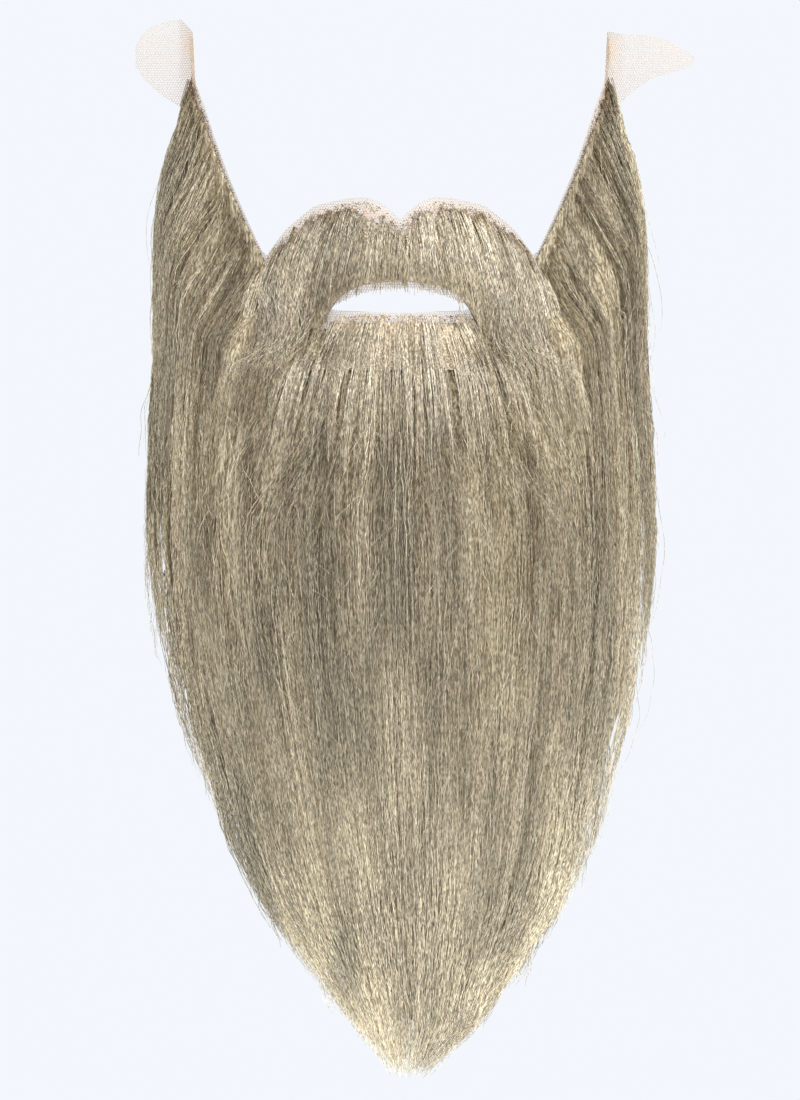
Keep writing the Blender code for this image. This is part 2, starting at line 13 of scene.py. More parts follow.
import bpy
import numpy as np
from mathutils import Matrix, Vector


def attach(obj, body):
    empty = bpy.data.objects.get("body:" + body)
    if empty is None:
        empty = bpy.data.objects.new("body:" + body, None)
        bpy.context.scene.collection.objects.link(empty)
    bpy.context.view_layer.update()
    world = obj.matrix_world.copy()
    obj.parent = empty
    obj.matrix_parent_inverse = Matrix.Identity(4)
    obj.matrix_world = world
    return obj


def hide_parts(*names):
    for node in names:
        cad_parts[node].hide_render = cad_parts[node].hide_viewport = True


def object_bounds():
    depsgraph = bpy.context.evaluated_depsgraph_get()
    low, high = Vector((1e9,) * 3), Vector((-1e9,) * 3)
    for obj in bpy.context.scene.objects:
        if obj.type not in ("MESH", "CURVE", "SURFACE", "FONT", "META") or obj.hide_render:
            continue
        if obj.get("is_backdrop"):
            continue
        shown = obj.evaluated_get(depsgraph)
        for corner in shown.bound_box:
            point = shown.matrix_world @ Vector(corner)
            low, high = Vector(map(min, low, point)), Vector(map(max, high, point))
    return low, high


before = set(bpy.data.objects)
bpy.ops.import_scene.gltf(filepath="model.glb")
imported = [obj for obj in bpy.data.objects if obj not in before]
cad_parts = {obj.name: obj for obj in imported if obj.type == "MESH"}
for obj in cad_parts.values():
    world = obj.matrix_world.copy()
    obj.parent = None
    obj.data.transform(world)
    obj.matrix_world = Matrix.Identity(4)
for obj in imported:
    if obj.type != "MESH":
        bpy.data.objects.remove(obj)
CAD_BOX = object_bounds()

MM = 0.001
SEED = 41
BODY = "root"
HALVINGS = 14
STRAND_SIDES = 3
TINY = 1e-9
LOG = logging.getLogger("fake_beard")


class Side(Enum):
    """The two sides, as the viewer sees them."""

    LEFT = -1
    RIGHT = 1

    @property
    def word(self) -> str:
        """The side's name as the CAD nodes use it."""
        return self.name.lower()


class Slot(Enum):
    """The record's material slots."""

    LACE = "lace"
    MOUSTACHE = "moustache_hair"
    BEARD = "beard_hair"


def smooth(share: np.ndarray) -> np.ndarray:
    """Eases a share from 0 to 1."""
    share = np.clip(share, 0.0, 1.0)
    return share * share * (3 - 2 * share)


def mix(start: np.ndarray, end: np.ndarray, share: np.ndarray) -> np.ndarray:
    """Goes from start to end by a share, which gains an axis where the ends are points."""
    share = np.asarray(share, float)
    if np.ndim(end) > share.ndim:
        share = share[..., None]
    return start + (end - start) * share


def unit(vectors: np.ndarray, least: float = 0.0) -> np.ndarray:
    """Vectors of length one, with a least length that keeps zeros from dividing."""
    return vectors / (np.linalg.norm(vectors, axis=-1, keepdims=True) + least)


def run_length(points: np.ndarray) -> np.ndarray:
    """The length so far at each point of lines, whose points lie on the last axis but one."""
    steps = np.cumsum(np.linalg.norm(np.diff(points, axis=-2), axis=-1), axis=-1)
    return np.concatenate((np.zeros((*steps.shape[:-1], 1)), steps), axis=-1)


@dataclass(frozen=True)
class Table:
    """Rows of sizes under named columns, read in straight lines by the first column."""

    columns: str
    rows: tuple

    def read(self, column: str, at: np.ndarray) -> np.ndarray:
        """Reads a column.

        Args:
            column: The column's name.
            at: Values of the first column.

        Returns:
            The column's values there.
        """
        place = self.columns.split().index(column)
        rows = sorted(self.rows)
        return np.interp(at, [row[0] for row in rows], [row[place] for row in rows])


@dataclass(frozen=True)
class FaceForm:
    """The shape of a face, and the edges of the lace and the hair on it."""

    axis_y: float = 95.0
    lace_margin: float = 3.5
    jaw_z: float = -62.0
    jaw_rise: float = 37.0
    jaw_rise_power: float = 1.2
    jaw_radius: float = 18.0
    fade_start: float = 48.0
    fade_end: float = 78.0
    under_jaw: float = 34.0
    cheek_angle: float = 44.0
    rear_angle: float = 70.0
    probe: float = 0.8
    section: Table = Table(
        "z half_width front_y",
        (
            (92, 77.0, 7.0), (63, 75.5, 4.0), (30, 72.5, 1.0), (8, 70.0, 0.0),
            (-12, 67.0, 0.0), (-30, 62.0, 0.0), (-48, 55.0, 1.5), (-75, 44.0, 6.0),
        ),
    )
    hairline: Table = Table(
        "angle z",
        (
            (0, 8.0), (5, 13.5), (10, 16.0), (17, 15.0), (25, 13.0), (35, 5.0), (44, -4.6),
            (51.5, 12.0), (61.5, 34.0), (70, 52.0), (79, 63.0), (88, 66.0), (98, 66.0),
        ),
    )
    lace_top: Table = Table("angle lift", ((79, 0.0), (88, 8.0), (98, 16.0)))
    lace_rear: Table = Table("angle z", ((70, -39.0), (79, -14.0), (88, 8.0), (98, 50.0)))

    def plan(self, angle: np.ndarray, z: np.ndarray, inward: np.ndarray = 0.0) -> np.ndarray:
        """Points on the face.

        Args:
            angle: Angles round the face.
            z: Heights.
            inward: How far the points move in towards the face's axis.

        Returns:
            The points, in millimetres.
        """
        angle, z = np.broadcast_arrays(np.asarray(angle, float), np.asarray(z, float))
        swing = np.radians(angle)
        x = self.section.read("half_width", z) * np.sin(swing)
        y = -(self.axis_y - self.section.read("front_y", z)) * np.cos(swing)
        keep = 1 - inward / np.hypot(x, y)
        return np.stack((x * keep, self.axis_y + y * keep, z), axis=-1)

    def standing(self, angle: np.ndarray, z: np.ndarray, out: np.ndarray) -> np.ndarray:
        """Points that stand out level from the face by a distance."""
        point = self.plan(angle, z)
        away = point - np.array((0.0, self.axis_y, 0.0))
        away[..., 2] = 0
        return point + unit(away) * np.asarray(out, float)[..., None]

    def route(self, angle: float) -> tuple[np.ndarray, np.ndarray]:
        """The lace's way from its top edge down the face and in under the jaw.

        Args:
            angle: The angle round the face.

        Returns:
            The way as (inward, z) pairs, and the length so far at each pair.
        """
        side = abs(angle)
        top = float(self.hairline.read("z", side)) + self.lace_margin
        top += float(self.lace_top.read("lift", side))
        fade = float(smooth((self.fade_end - side) / (self.fade_end - self.fade_start)))
        radius = max(self.jaw_radius * fade, 0.5)
        jaw = self.jaw_z + self.jaw_rise * (1 - math.cos(math.radians(side))) ** self.jaw_rise_power
        if side >= self.rear_angle:
            jaw = float(self.lace_rear.read("z", side))
        way = [(0.0, z) for z in np.linspace(top, jaw + radius, 14)]
        for turn in np.radians(np.linspace(0, 90, 9)[1:]):
            way.append((radius * (1 - math.cos(turn)), jaw + radius * (1 - math.sin(turn))))
        reach = self.under_jaw * fade
        if reach > radius + 1:
            way += [(inward, jaw) for inward in np.linspace(radius, reach, 5)[1:]]
        way = np.array(way)
        return way, run_length(way)

    def on_lace(self, angle: float, length: np.ndarray, out: float = 0.0) -> np.ndarray:
        """Points down the lace at one angle.

        Args:
            angle: The angle round the face.
            length: Lengths down the lace from its top edge.
            out: How far the points stand off the lace's inner face.

        Returns:
            The points, in millimetres.
        """
        way, steps = self.route(angle)

        def spot(turn: float, along: np.ndarray) -> np.ndarray:
            """The place at an angle and at lengths down this way."""
            inward = np.interp(along, steps, way[:, 0])
            return self.plan(turn, np.interp(along, steps, way[:, 1]), inward)

        length = np.clip(np.atleast_1d(length), 0, steps[-1])
        low = np.minimum(length + self.probe, steps[-1])
        down = spot(angle, low) - spot(angle, np.maximum(length - self.probe, 0))
        along = spot(angle + self.probe, length) - spot(angle - self.probe, length)
        return spot(angle, length) + unit(np.cross(down, along)) * out

    def roots(self, angle: np.ndarray, z: np.ndarray, out: float = 1.1) -> np.ndarray:
        """Points on the outer face of the lace, one for each pair of an angle and a height."""
        made = []
        for turn, height in zip(angle, z):
            way, steps = self.route(turn)
            made.append(self.on_lace(turn, np.interp(-height, -way[:, 1], steps), out)[0])
        return np.array(made)


@dataclass(frozen=True)
class HairForm:
    """The outside and the inside of the hair as a whole."""

    face: FaceForm = FaceForm()
    start: float = 4.7
    arc_radius: float = 75.5
    cheek_fill: float = 30.0
    cheek_sinking: float = 0.8
    chin_fill_top: float = -14.0
    chin_fill: float = 34.0
    chin_sinking: float = 0.6
    moustache_rise: float = 7.0
    moustache_slope: float = 16.0
    moustache_end: float = -16.0
    moustache_run_out: float = 26.0
    moustache_over: float = 1.5
    lip_rise: float = 3.0
    lip_top: float = -22.5
    lip_slope: float = 10.0
    lip_end: float = -28.0
    lip_run_out: float = 16.0
    lip_over: float = 1.0
    section: Table = Table(
        "z half_width front_y widest_y front_wall side_wall",
        (
            (70, 77.6, 0, 95, 5, 2), (59, 79.1, -2, 95, 5, 3),
            (48, 82.3, -4, 95, 5, 6), (37, 85.3, -6, 95, 8, 9),
            (27, 86.9, -8, 95, 8, 11.5), (16, 88.7, -9, 95, 8, 14),
            (5, 89.4, -10, 95, 9, 16), (-16, 89.8, -10, 95, 10, 18),
            (-37, 89.6, -16, 93, 16, 20), (-59, 90.9, -23, 88, 60, 21),
            (-80, 91.4, -27, 81, 56, 22), (-102, 91.7, -29, 74, 44, 22),
            (-123, 89.8, -29, 68, 36, 21), (-145, 85.9, -27, 61, 30, 19),
            (-166, 80.5, -24, 54, 25, 17), (-187, 72.8, -21, 47, 21, 15),
            (-209, 65.9, -17, 38, 18, 13), (-230, 54.8, -13, 29, 15, 11),
            (-252, 38.4, -9, 20, 12, 9), (-273, 22.8, -5, 12, 9, 7),
            (-293, 3.0, -1, 4, 5, 3), (-302, 1.5, 0, 3, 2, 1),
        ),
    )
    drift: Table = Table(
        "z x",
        (
            (-80, 0), (-137, 1.0), (-166, 2.3), (-209, 3.8), (-230, 4.7), (-273, 5.6), (-293, 2.5),
            (-302, 1.5),
        ),
    )
    seam: Table = Table("z angle", ((-66, 45), (-80, 50), (-110, 68), (-135, 85), (-150, 95)))

    def outside(self, angle: np.ndarray, z: np.ndarray, sunk: np.ndarray = 0.0) -> np.ndarray:
        """Points on the outside of the hanging hair, sunk towards its axis."""
        axis = self.section.read("widest_y", z)
        half_width = np.maximum(self.section.read("half_width", z) - sunk, 1.0)
        depth = np.maximum(axis - self.section.read("front_y", z) - sunk, 1.0)
        swing = np.radians(angle)
        x = half_width * np.sin(swing) + self.drift.read("x", z)
        y = axis - depth * np.cos(swing)
        return np.stack(np.broadcast_arrays(x, y, z), axis=-1)

    def inside(self, angle: np.ndarray, z: np.ndarray, sunk: np.ndarray = 0.0) -> np.ndarray:
        """Points on the inside of the hanging hair, sunk into the hair."""
        axis = self.section.read("widest_y", z)
        half_width = self.section.read("half_width", z) - self.section.read("side_wall", z) + sunk
        depth = axis - self.section.read("front_y", z) - self.section.read("front_wall", z) + sunk
        swing = np.radians(angle)
        x = np.maximum(half_width, 0.5) * np.sin(swing) + self.drift.read("x", z)
        y = axis - np.maximum(depth, 0.5) * np.cos(swing)
        return np.stack(np.broadcast_arrays(x, y, z), axis=-1)

    def turned(self, surface: object, x: np.ndarray, z: np.ndarray) -> np.ndarray:
        """The angles at which points seen from the front lie on a surface of the hair.

        Args:
            surface: The method for the surface.
            x: The points' places across.
            z: Their heights.

        Returns:
            The angles.
        """
        low, high = np.full(z.shape, -90.0), np.full(z.shape, 90.0)
        for _ in range(HALVINGS):
            middle = (low + high) / 2
            short = surface(middle, z)[..., 0] < x
            low, high = np.where(short, middle, low), np.where(short, high, middle)
        return (low + high) / 2

    def hairline_distance(self, angle: np.ndarray, z: np.ndarray) -> np.ndarray:
        """The distance round the face from points to the hairline of the cheek."""
        arc = self.arc_radius
        here = np.stack(np.broadcast_arrays(arc * np.radians(np.abs(angle)), z), axis=-1)
        rows = [row for row in self.face.hairline.rows if row[0] >= self.face.cheek_angle]
        line = np.array([(arc * math.radians(row[0]), row[1]) for row in rows])
        best = np.full(here.shape[:-1], np.inf)
        for start, end in zip(line, line[1:]):
            run = end - start
            share = np.clip((here - start) @ run / (run @ run), 0, 1)[..., None]
            best = np.minimum(best, np.linalg.norm(here - start - run * share, axis=-1))
        return best

    def cheek(self, angle: np.ndarray, z: np.ndarray, sunk: np.ndarray = 0.0) -> np.ndarray:
        """The outside of a sideburn: thin at the hairline, and full at the side of the face."""
        fullness = smooth(self.hairline_distance(angle, z) / self.cheek_fill)
        sinking = self.cheek_sinking * np.asarray(sunk) * np.ones_like(fullness)
        thin = self.face.standing(angle, z, self.start - sinking)
        return mix(thin, self.outside(angle, z, sunk), fullness)

    def chin(self, angle: np.ndarray, z: np.ndarray, sunk: np.ndarray = 0.0) -> np.ndarray:
        """The outside of the chin beard: thin under the lip, and full from the chin down."""
        fullness = smooth((self.chin_fill_top - z) / self.chin_fill)
        sinking = self.chin_sinking * np.asarray(sunk) * np.ones_like(fullness)
        thin = self.face.standing(angle, z, self.start - sinking)
        return mix(thin, self.outside(angle, z, sunk), fullness)

    def moustache(self, angle: np.ndarray, z: np.ndarray, sunk: np.ndarray = 0.0) -> np.ndarray:
        """The outside of the moustache, whose lower end runs out over the hair below it."""
        below = self.face.hairline.read("z", np.abs(angle)) - z
        rise = self.moustache_rise * smooth(below / self.moustache_slope)
        own = self.face.standing(angle, z, self.start + rise - sunk)
        over = self.chin(angle, z, sunk - self.moustache_over)
        return mix(own, over, smooth((self.moustache_end - z) / self.moustache_run_out))

    def lip(self, angle: np.ndarray, z: np.ndarray, sunk: np.ndarray = 0.0) -> np.ndarray:
        """The outside of the lip patch, whose lower end lies on the chin beard."""
        rise = self.lip_rise * smooth((self.lip_top - z) / self.lip_slope)
        own = self.face.standing(angle, z, self.start + rise - sunk)
        over = self.chin(angle, z, sunk - self.lip_over)
        return mix(own, over, smooth((self.lip_end - z) / self.lip_run_out))


# Nodes


class Sketch:
    """A node tree in the making, with short calls for its nodes and links."""

    def __init__(self, tree: bpy.types.NodeTree) -> None:
        """Starts on a tree.

        Args:
            tree: The tree to add nodes to.
        """
        self.tree = tree

    def socket(self, name: str, kind: str, out: bool = False, value: object = None) -> object:
        """Adds a named input or output to the tree.

        Args:
            name: The socket's name.
            kind: The socket's type without its NodeSocket prefix.
            out: True for an output.
            value: The default value, if any.

        Returns:
            The socket of the tree's interface.
        """
        made = self.tree.interface.new_socket(
            name, in_out="OUTPUT" if out else "INPUT", socket_type=f"NodeSocket{kind}"
        )
        if value is not None:
            made.default_value = value
        return made

    def add(self, kind: str, inputs: dict | None = None, **settings: object) -> bpy.types.Node:
        """Adds a node.

        Args:
            kind: The node's type.
            inputs: Values or output sockets, by the input's name, identifier or place.
            settings: Properties of the node.

        Returns:
            The node.
        """
        node = self.tree.nodes.new(kind)
        for name, value in settings.items():
            setattr(node, name, value)
        for name, value in (inputs or {}).items():
            same = [end for end in node.inputs if end.identifier == name]
            end = same[0] if same else node.inputs[name]
            if isinstance(value, bpy.types.NodeSocket):
                self.tree.links.new(value, end)
            else:
                end.default_value = value
        return node

    def math(self, operation: str, *values: object, clamp: bool = False) -> bpy.types.NodeSocket:
        """A math node's output."""
        inputs = dict(enumerate(values))
        node = self.add("ShaderNodeMath", inputs, operation=operation, use_clamp=clamp)
        return node.outputs[0]

    def vector(self, operation: str, *values: object) -> bpy.types.NodeSocket:
        """A vector math node's output: a number for a dot product or a length."""
        names = {0: "Vector", 1: "Vector_001", 2: "Vector_002"}
        if operation == "SCALE":
            inputs = {"Vector": values[0], "Scale": values[1]}
        else:
            inputs = {names[k]: value for k, value in enumerate(values)}
        node = self.add("ShaderNodeVectorMath", inputs, operation=operation)
        return node.outputs["Value" if operation in ("DOT_PRODUCT", "LENGTH") else "Vector"]

    def ramp(self, value: object, low: object, high: object, start: object, end: object) -> object:
        """A smooth step from start to end as a value goes from low to high."""
        inputs = {"Value": value, "From Min": low, "From Max": high, "To Min": start, "To Max": end}
        node = self.add("ShaderNodeMapRange", inputs, interpolation_type="SMOOTHSTEP")
        return node.outputs["Result"]

    def blend(self, share: object, first: object, second: object, mode: str = "MIX") -> object:
        """A mix of two colours."""
        inputs = {"Factor_Float": share, "A_Color": first, "B_Color": second}
        node = self.add("ShaderNodeMix", inputs, data_type="RGBA", blend_type=mode)
        return next(s for s in node.outputs if s.identifier == "Result_Color")

    def geometry(self, kind: str, inputs: dict, **settings: object) -> bpy.types.NodeSocket:
        """The first output of a geometry node, whose kind is given without its prefix."""
        return self.add(f"GeometryNode{kind}", inputs, **settings).outputs[0]

    def place(self) -> bpy.types.NodeSocket:
        """The place in the object's own space."""
        return self.add("ShaderNodeTexCoord").outputs["Object"]

    def attribute(self, name: str) -> bpy.types.NodeSocket:
        """A number that the mesh carries."""
        return self.add("ShaderNodeAttribute", attribute_name=name).outputs["Fac"]

    def noise(self, vector: object, scale: float, detail: float = 2.0) -> bpy.types.NodeSocket:
        """A noise texture's value."""
        inputs = {"Vector": vector, "Scale": scale, "Detail": detail}
        return self.add("ShaderNodeTexNoise", inputs).outputs["Fac"]


def rgb(red: float, green: float, blue: float) -> tuple:
    """A display colour, from 0 to 255, as Blender's linear colour."""
    shares = [value / 255 for value in (red, green, blue)]
    linear = [s / 12.92 if s <= 0.04045 else ((s + 0.055) / 1.055) ** 2.4 for s in shares]
    return (*linear, 1.0)


@dataclass(frozen=True)
class Streaks:
    """The scales, stretches and strengths of the streaks in hair and of its painted light and
    shade, with heights in metres.
    """

    root_end: float = 0.14
    tip_start: float = 0.45
    fall: tuple = (-0.29, -0.09)
    # A brightening of the lower beard: partly painted light that makes up for the lamps' fall-off,
    # partly the paler thin ends.
    paling: tuple = (-0.29, -0.18)
    paling_gain: float = 1.26
    band_scale: float = 62.0
    band_stretch: float = 0.09
    fine_scale: float = 900.0
    fine_stretch: float = 0.05
    # Leaning dashes of painted highlight and painted shade, which stand in for crimps catching the
    # light.
    dash_scale: float = 1500.0
    dash_stretch: float = 0.26
    dash_lean: float = 0.26
    dash_depth: float = 0.38
    fine_depth: float = 0.08


def hair_tone_group(streaks: Streaks = Streaks()) -> bpy.types.NodeTree:
    """The colour and surface of hair, with its painted light and shade, which every hair finish
    shares.

    Args:
        streaks: The sizes of its streaks.

    Returns:
        A shader group whose Tone is a strand's paleness and whose Along runs from root to tip.
    """
    tree = bpy.data.node_groups.new("hair_tone", "ShaderNodeTree")
    draw = Sketch(tree)
    draw.socket("Tone", "Float", value=0.5)
    draw.socket("Along", "Float", value=0.5)
    draw.socket("Vector", "Vector")
    for name in ("Root Color", "Dark Color", "Pale Color", "Tip Color"):
        draw.socket(name, "Color")
    for name in ("Band Depth", "Tip Share", "Fall Share", "Roughness"):
        draw.socket(name, "Float", value=0.5)
    for name, kind in (("Color", "Color"), ("Roughness", "Float"), ("Height", "Float")):
        draw.socket(name, kind, out=True)
    given = draw.add("NodeGroupInput").outputs

    def streak(vector: object, stretch: float, scale: float, detail: float) -> bpy.types.NodeSocket:
        """Noise drawn out along the fall of the hair."""
        return draw.noise(draw.vector("MULTIPLY", vector, (1.0, 1.0, stretch)), scale, detail)

    body = draw.blend(given["Tone"], given["Dark Color"], given["Pale Color"])
    grown = draw.ramp(given["Along"], 0.0, streaks.root_end, 0.0, 1.0)
    rooted = draw.blend(grown, given["Root Color"], body)
    tipped = draw.ramp(given["Along"], streaks.tip_start, 1.0, 0.0, 1.0)
    tipped = draw.math("MULTIPLY", tipped, given["Tip Share"])
    tinted = draw.blend(tipped, rooted, given["Tip Color"])
    height = draw.add("ShaderNodeSeparateXYZ", {0: given["Vector"]}).outputs["Z"]
    fallen = draw.ramp(height, *streaks.fall, given["Fall Share"], 0.0)
    tinted = draw.blend(fallen, tinted, given["Tip Color"])
    band = streak(given["Vector"], streaks.band_stretch, streaks.band_scale, 3.0)
    fine = streak(given["Vector"], streaks.fine_stretch, streaks.fine_scale, 1.0)
    # Two leaning dash patterns: painted highlights and painted shade along the strands, standing in
    # for crimps catching the light.
    crimp_light_and_shade = []
    for lean in (-streaks.dash_lean, streaks.dash_lean):
        turned = {"Vector": given["Vector"], "Rotation": (lean, lean, 0.0)}
        turned = draw.add("ShaderNodeVectorRotate", turned, rotation_type="EULER_XYZ").outputs[0]
        crimp_light_and_shade.append(streak(turned, streaks.dash_stretch, streaks.dash_scale, 0.0))
    shade = draw.ramp(band, 0.36, 0.64, draw.math("SUBTRACT", 1.0, given["Band Depth"]), 1.08)
    for more in (
        draw.ramp(fine, 0.3, 0.7, 1 - streaks.fine_depth, 1 + streaks.fine_depth),
        draw.ramp(
            draw.math("ADD", *crimp_light_and_shade), 0.8, 1.2, 1 - streaks.dash_depth, 1 + streaks.dash_depth
        ),
        # Painted light on the lower beard, together with its paler ends.
        draw.ramp(height, *streaks.paling, streaks.paling_gain, 1.0),
    ):
        shade = draw.math("MULTIPLY", shade, more)
    shaded = draw.vector("SCALE", tinted, shade)
    rough = draw.math("ADD", given["Roughness"], draw.ramp(fine, 0.3, 0.7, -0.06, 0.08))
    draw.add("NodeGroupOutput", {"Color": shaded, "Roughness": rough, "Height": fine})
    return tree


def hex_net_group() -> bpy.types.NodeTree:
    """The threads of a hexagonal net.

    Returns:
        A shader group that puts out 1 on a thread, 0 in a hole, and the thread's height.
    """
    tree = bpy.data.node_groups.new("hex_net", "ShaderNodeTree")
    draw = Sketch(tree)
    draw.socket("Vector", "Vector")
    draw.socket("Cell", "Float", value=0.001)
    draw.socket("Thread", "Float", value=0.2)
    for name in ("Mask", "Height"):
        draw.socket(name, "Float", out=True)
    given = draw.add("NodeGroupInput").outputs
    place = draw.vector("SCALE", given["Vector"], draw.math("DIVIDE", 1.0, given["Cell"]))
    tall = math.sqrt(3)
    offsets = []
    for shift in (900.0, 900.5):
        moved = draw.vector("ADD", place, (shift, shift * tall, 0.0))
        moved = draw.vector("MODULO", moved, (1.0, tall, 1.0))
        offsets.append(draw.vector("SUBTRACT", moved, (0.5, tall / 2, 0.5)))
    offsets = [draw.vector("MULTIPLY", offset, (1.0, 1.0, 0.0)) for offset in offsets]
    lengths = [draw.vector("LENGTH", offset) for offset in offsets]
    first = draw.math("LESS_THAN", lengths[0], lengths[1])
    inputs = {"Factor_Float": first, "A_Vector": offsets[1], "B_Vector": offsets[0]}
    near = draw.add("ShaderNodeMix", inputs, data_type="VECTOR")
    near = next(s for s in near.outputs if s.identifier == "Result_Vector")
    near = draw.vector("ABSOLUTE", near)
    slant = draw.vector("DOT_PRODUCT", near, (0.5, tall / 2, 0.0))
    level = draw.vector("DOT_PRODUCT", near, (1.0, 0.0, 0.0))
    edge = draw.math("SUBTRACT", 0.5, draw.math("MAXIMUM", slant, level))
    mask = draw.math("LESS_THAN", edge, given["Thread"])
    height = draw.math("SUBTRACT", 1.0, draw.math("DIVIDE", edge, given["Thread"], clamp=True))
    draw.add("NodeGroupOutput", {"Mask": mask, "Height": height})
    return tree


def new_material(name: str) -> tuple[bpy.types.Material, Sketch, bpy.types.Node]:
    """A material with one Principled shader, whose tree is open for more nodes."""
    material = bpy.data.materials.new(name)
    material.use_nodes = True
    return material, Sketch(material.node_tree), material.node_tree.nodes["Principled BSDF"]


@dataclass(frozen=True)
class HairFinish:
    """The look of one kind of hair, on its strands and on the mass under them."""

    name: str
    root: tuple
    dark: tuple
    pale: tuple
    tip: tuple
    band_depth: float = 0.3
    tip_share: float = 0.5
    fall_share: float = 0.0
    roughness: float = 0.6
    specular: float = 0.25
    strand_bump: float = 0.00005
    mass_bump: float = 0.0006
    mass_along: float = 0.4
    # The mass's tone stops short of pale: painted shade in the gaps between strands.
    mass_tone: float = 0.45

    def effect(self, draw: Sketch, group: bpy.types.NodeTree, inputs: dict) -> bpy.types.Node:
        """Places the shared hair group with this finish's values.

        Args:
            draw: The material's tree.
            group: The shared group.
            inputs: What feeds the group's Tone, Along and Vector.

        Returns:
            The group's node.
        """
        node = draw.add("ShaderNodeGroup", node_tree=group)
        values = {
            "Root Color": self.root, "Dark Color": self.dark, "Pale Color": self.pale,
            "Tip Color": self.tip, "Band Depth": self.band_depth, "Tip Share": self.tip_share,
            "Fall Share": self.fall_share, "Roughness": self.roughness,
        }
        for name, value in values.items():
            node.inputs[name].default_value = value
        for name, value in inputs.items():
            if isinstance(value, bpy.types.NodeSocket):
                draw.tree.links.new(value, node.inputs[name])
            else:
                node.inputs[name].default_value = value
        return node

    def finish(
        self, draw: Sketch, shader: bpy.types.Node, effect: bpy.types.Node, bump: float
    ) -> None:
        """Feeds the shader from the effect, with a bump of a depth in metres."""
        draw.tree.links.new(effect.outputs["Color"], shader.inputs["Base Color"])
        draw.tree.links.new(effect.outputs["Roughness"], shader.inputs["Roughness"])
        inputs = {"Height": effect.outputs["Height"], "Distance": bump, "Strength": 0.6}
        relief = draw.add("ShaderNodeBump", inputs)
        draw.tree.links.new(relief.outputs["Normal"], shader.inputs["Normal"])
        shader.inputs["Specular IOR Level"].default_value = self.specular

    def strands(self, group: bpy.types.NodeTree) -> bpy.types.Material:
        """The material of separate strands, which carry their own tone."""
        material, draw, shader = new_material(f"{self.name}_strands")
        tone = draw.attribute("tone")
        along = draw.attribute("along")
        place = draw.place()
        effect = self.effect(draw, group, {"Tone": tone, "Along": along, "Vector": place})
        self.finish(draw, shader, effect, self.strand_bump)
        return material

    def mass(self, group: bpy.types.NodeTree) -> bpy.types.Material:
        """The material of the dense hair under the strands, drawn as fine streaks and kept dark as
        painted shade between the strands.
        """
        material, draw, shader = new_material(f"{self.name}_mass")
        place = draw.place()
        falling = draw.vector("MULTIPLY", place, (1.0, 1.0, 0.04))
        tone = draw.ramp(draw.noise(falling, 900.0, 2.0), 0.3, 0.7, 0.0, self.mass_tone)
        effect = self.effect(draw, group, {"Tone": tone, "Along": self.mass_along, "Vector": place})
        self.finish(draw, shader, effect, self.mass_bump)
        return material


MOUSTACHE_HAIR = HairFinish(
    "moustache_hair", rgb(150, 130, 102), rgb(148, 131, 103), rgb(234, 224, 201),
    rgb(164, 149, 120), band_depth=0.16, tip_share=0.7,
)
BEARD_HAIR = HairFinish(
    "beard_hair", rgb(132, 115, 88), rgb(127, 111, 83), rgb(220, 208, 180), rgb(216, 204, 176),
    band_depth=0.3, tip_share=0.45, fall_share=0.78,
)
LIP_HAIR = HairFinish(
    "lip_hair", rgb(226, 208, 182), rgb(174, 156, 128), rgb(244, 234, 212), rgb(176, 161, 132),
    band_depth=0.15, tip_share=0.55,
)


@dataclass(frozen=True)
class NetFinish:
    """The look of the nude net."""

    thread: tuple = rgb(226, 205, 178)
    tint: tuple = rgb(232, 206, 176)
    fringe: tuple = rgb(226, 196, 164)
    fringe_share: float = 0.6
    cell: float = 0.001
    width: float = 0.085
    roughness: float = 0.75
    roughness_spread: float = 0.08
    tint_scale: float = 30.0
    fringe_scale: float = 900.0
    grain_scale: float = 2500.0

    def material(self, group: bpy.types.NodeTree) -> bpy.types.Material:
        """The net's material, whose holes are clear.

        Args:
            group: The shared hexagonal net group.

        Returns:
            The material.
        """
        material, draw, shader = new_material("nude_net")
        place = draw.add("ShaderNodeUVMap", uv_map="net").outputs["UV"]
        net = draw.add("ShaderNodeGroup", node_tree=group)
        draw.tree.links.new(place, net.inputs["Vector"])
        net.inputs["Cell"].default_value = self.cell
        net.inputs["Thread"].default_value = self.width
        wide = draw.place()
        cloud = draw.ramp(draw.noise(wide, self.tint_scale), 0.35, 0.65, 0.0, 1.0)
        tint = draw.blend(cloud, self.thread, self.tint)
        fringe = draw.attribute("fringe")
        tint = draw.blend(fringe, tint, self.fringe)
        draw.tree.links.new(tint, shader.inputs["Base Color"])
        grain = draw.noise(wide, self.fringe_scale, 3.0)
        grain = draw.ramp(grain, 0.35, 0.6, 0.0, self.fringe_share)
        cover = draw.math("MAXIMUM", net.outputs["Mask"], draw.math("MULTIPLY", fringe, grain))
        draw.tree.links.new(cover, shader.inputs["Alpha"])
        relief = draw.add("ShaderNodeBump", {"Height": net.outputs["Height"], "Distance": 0.0001})
        draw.tree.links.new(relief.outputs["Normal"], shader.inputs["Normal"])
        least, most = (self.roughness + sign * self.roughness_spread for sign in (-1, 1))
        rough = draw.ramp(draw.noise(wide, self.grain_scale), 0.3, 0.7, least, most)
        draw.tree.links.new(rough, shader.inputs["Roughness"])
        return material


@dataclass(frozen=True)
class KnotFinish:
    """The look of the knots that hold the hair."""

    dark: tuple = rgb(88, 74, 54)
    pale: tuple = rgb(150, 128, 98)
    grain_scale: float = 1600.0

    def material(self) -> bpy.types.Material:
        """The knots' material."""
        material, draw, shader = new_material("hair_knots")
        place = draw.place()
        grain = draw.noise(place, self.grain_scale)
        tint = draw.blend(draw.ramp(grain, 0.35, 0.65, 0.0, 1.0), self.dark, self.pale)
        draw.tree.links.new(tint, shader.inputs["Base Color"])
        draw.tree.links.new(draw.ramp(grain, 0.3, 0.7, 0.5, 0.7), shader.inputs["Roughness"])
        return material


# Strands


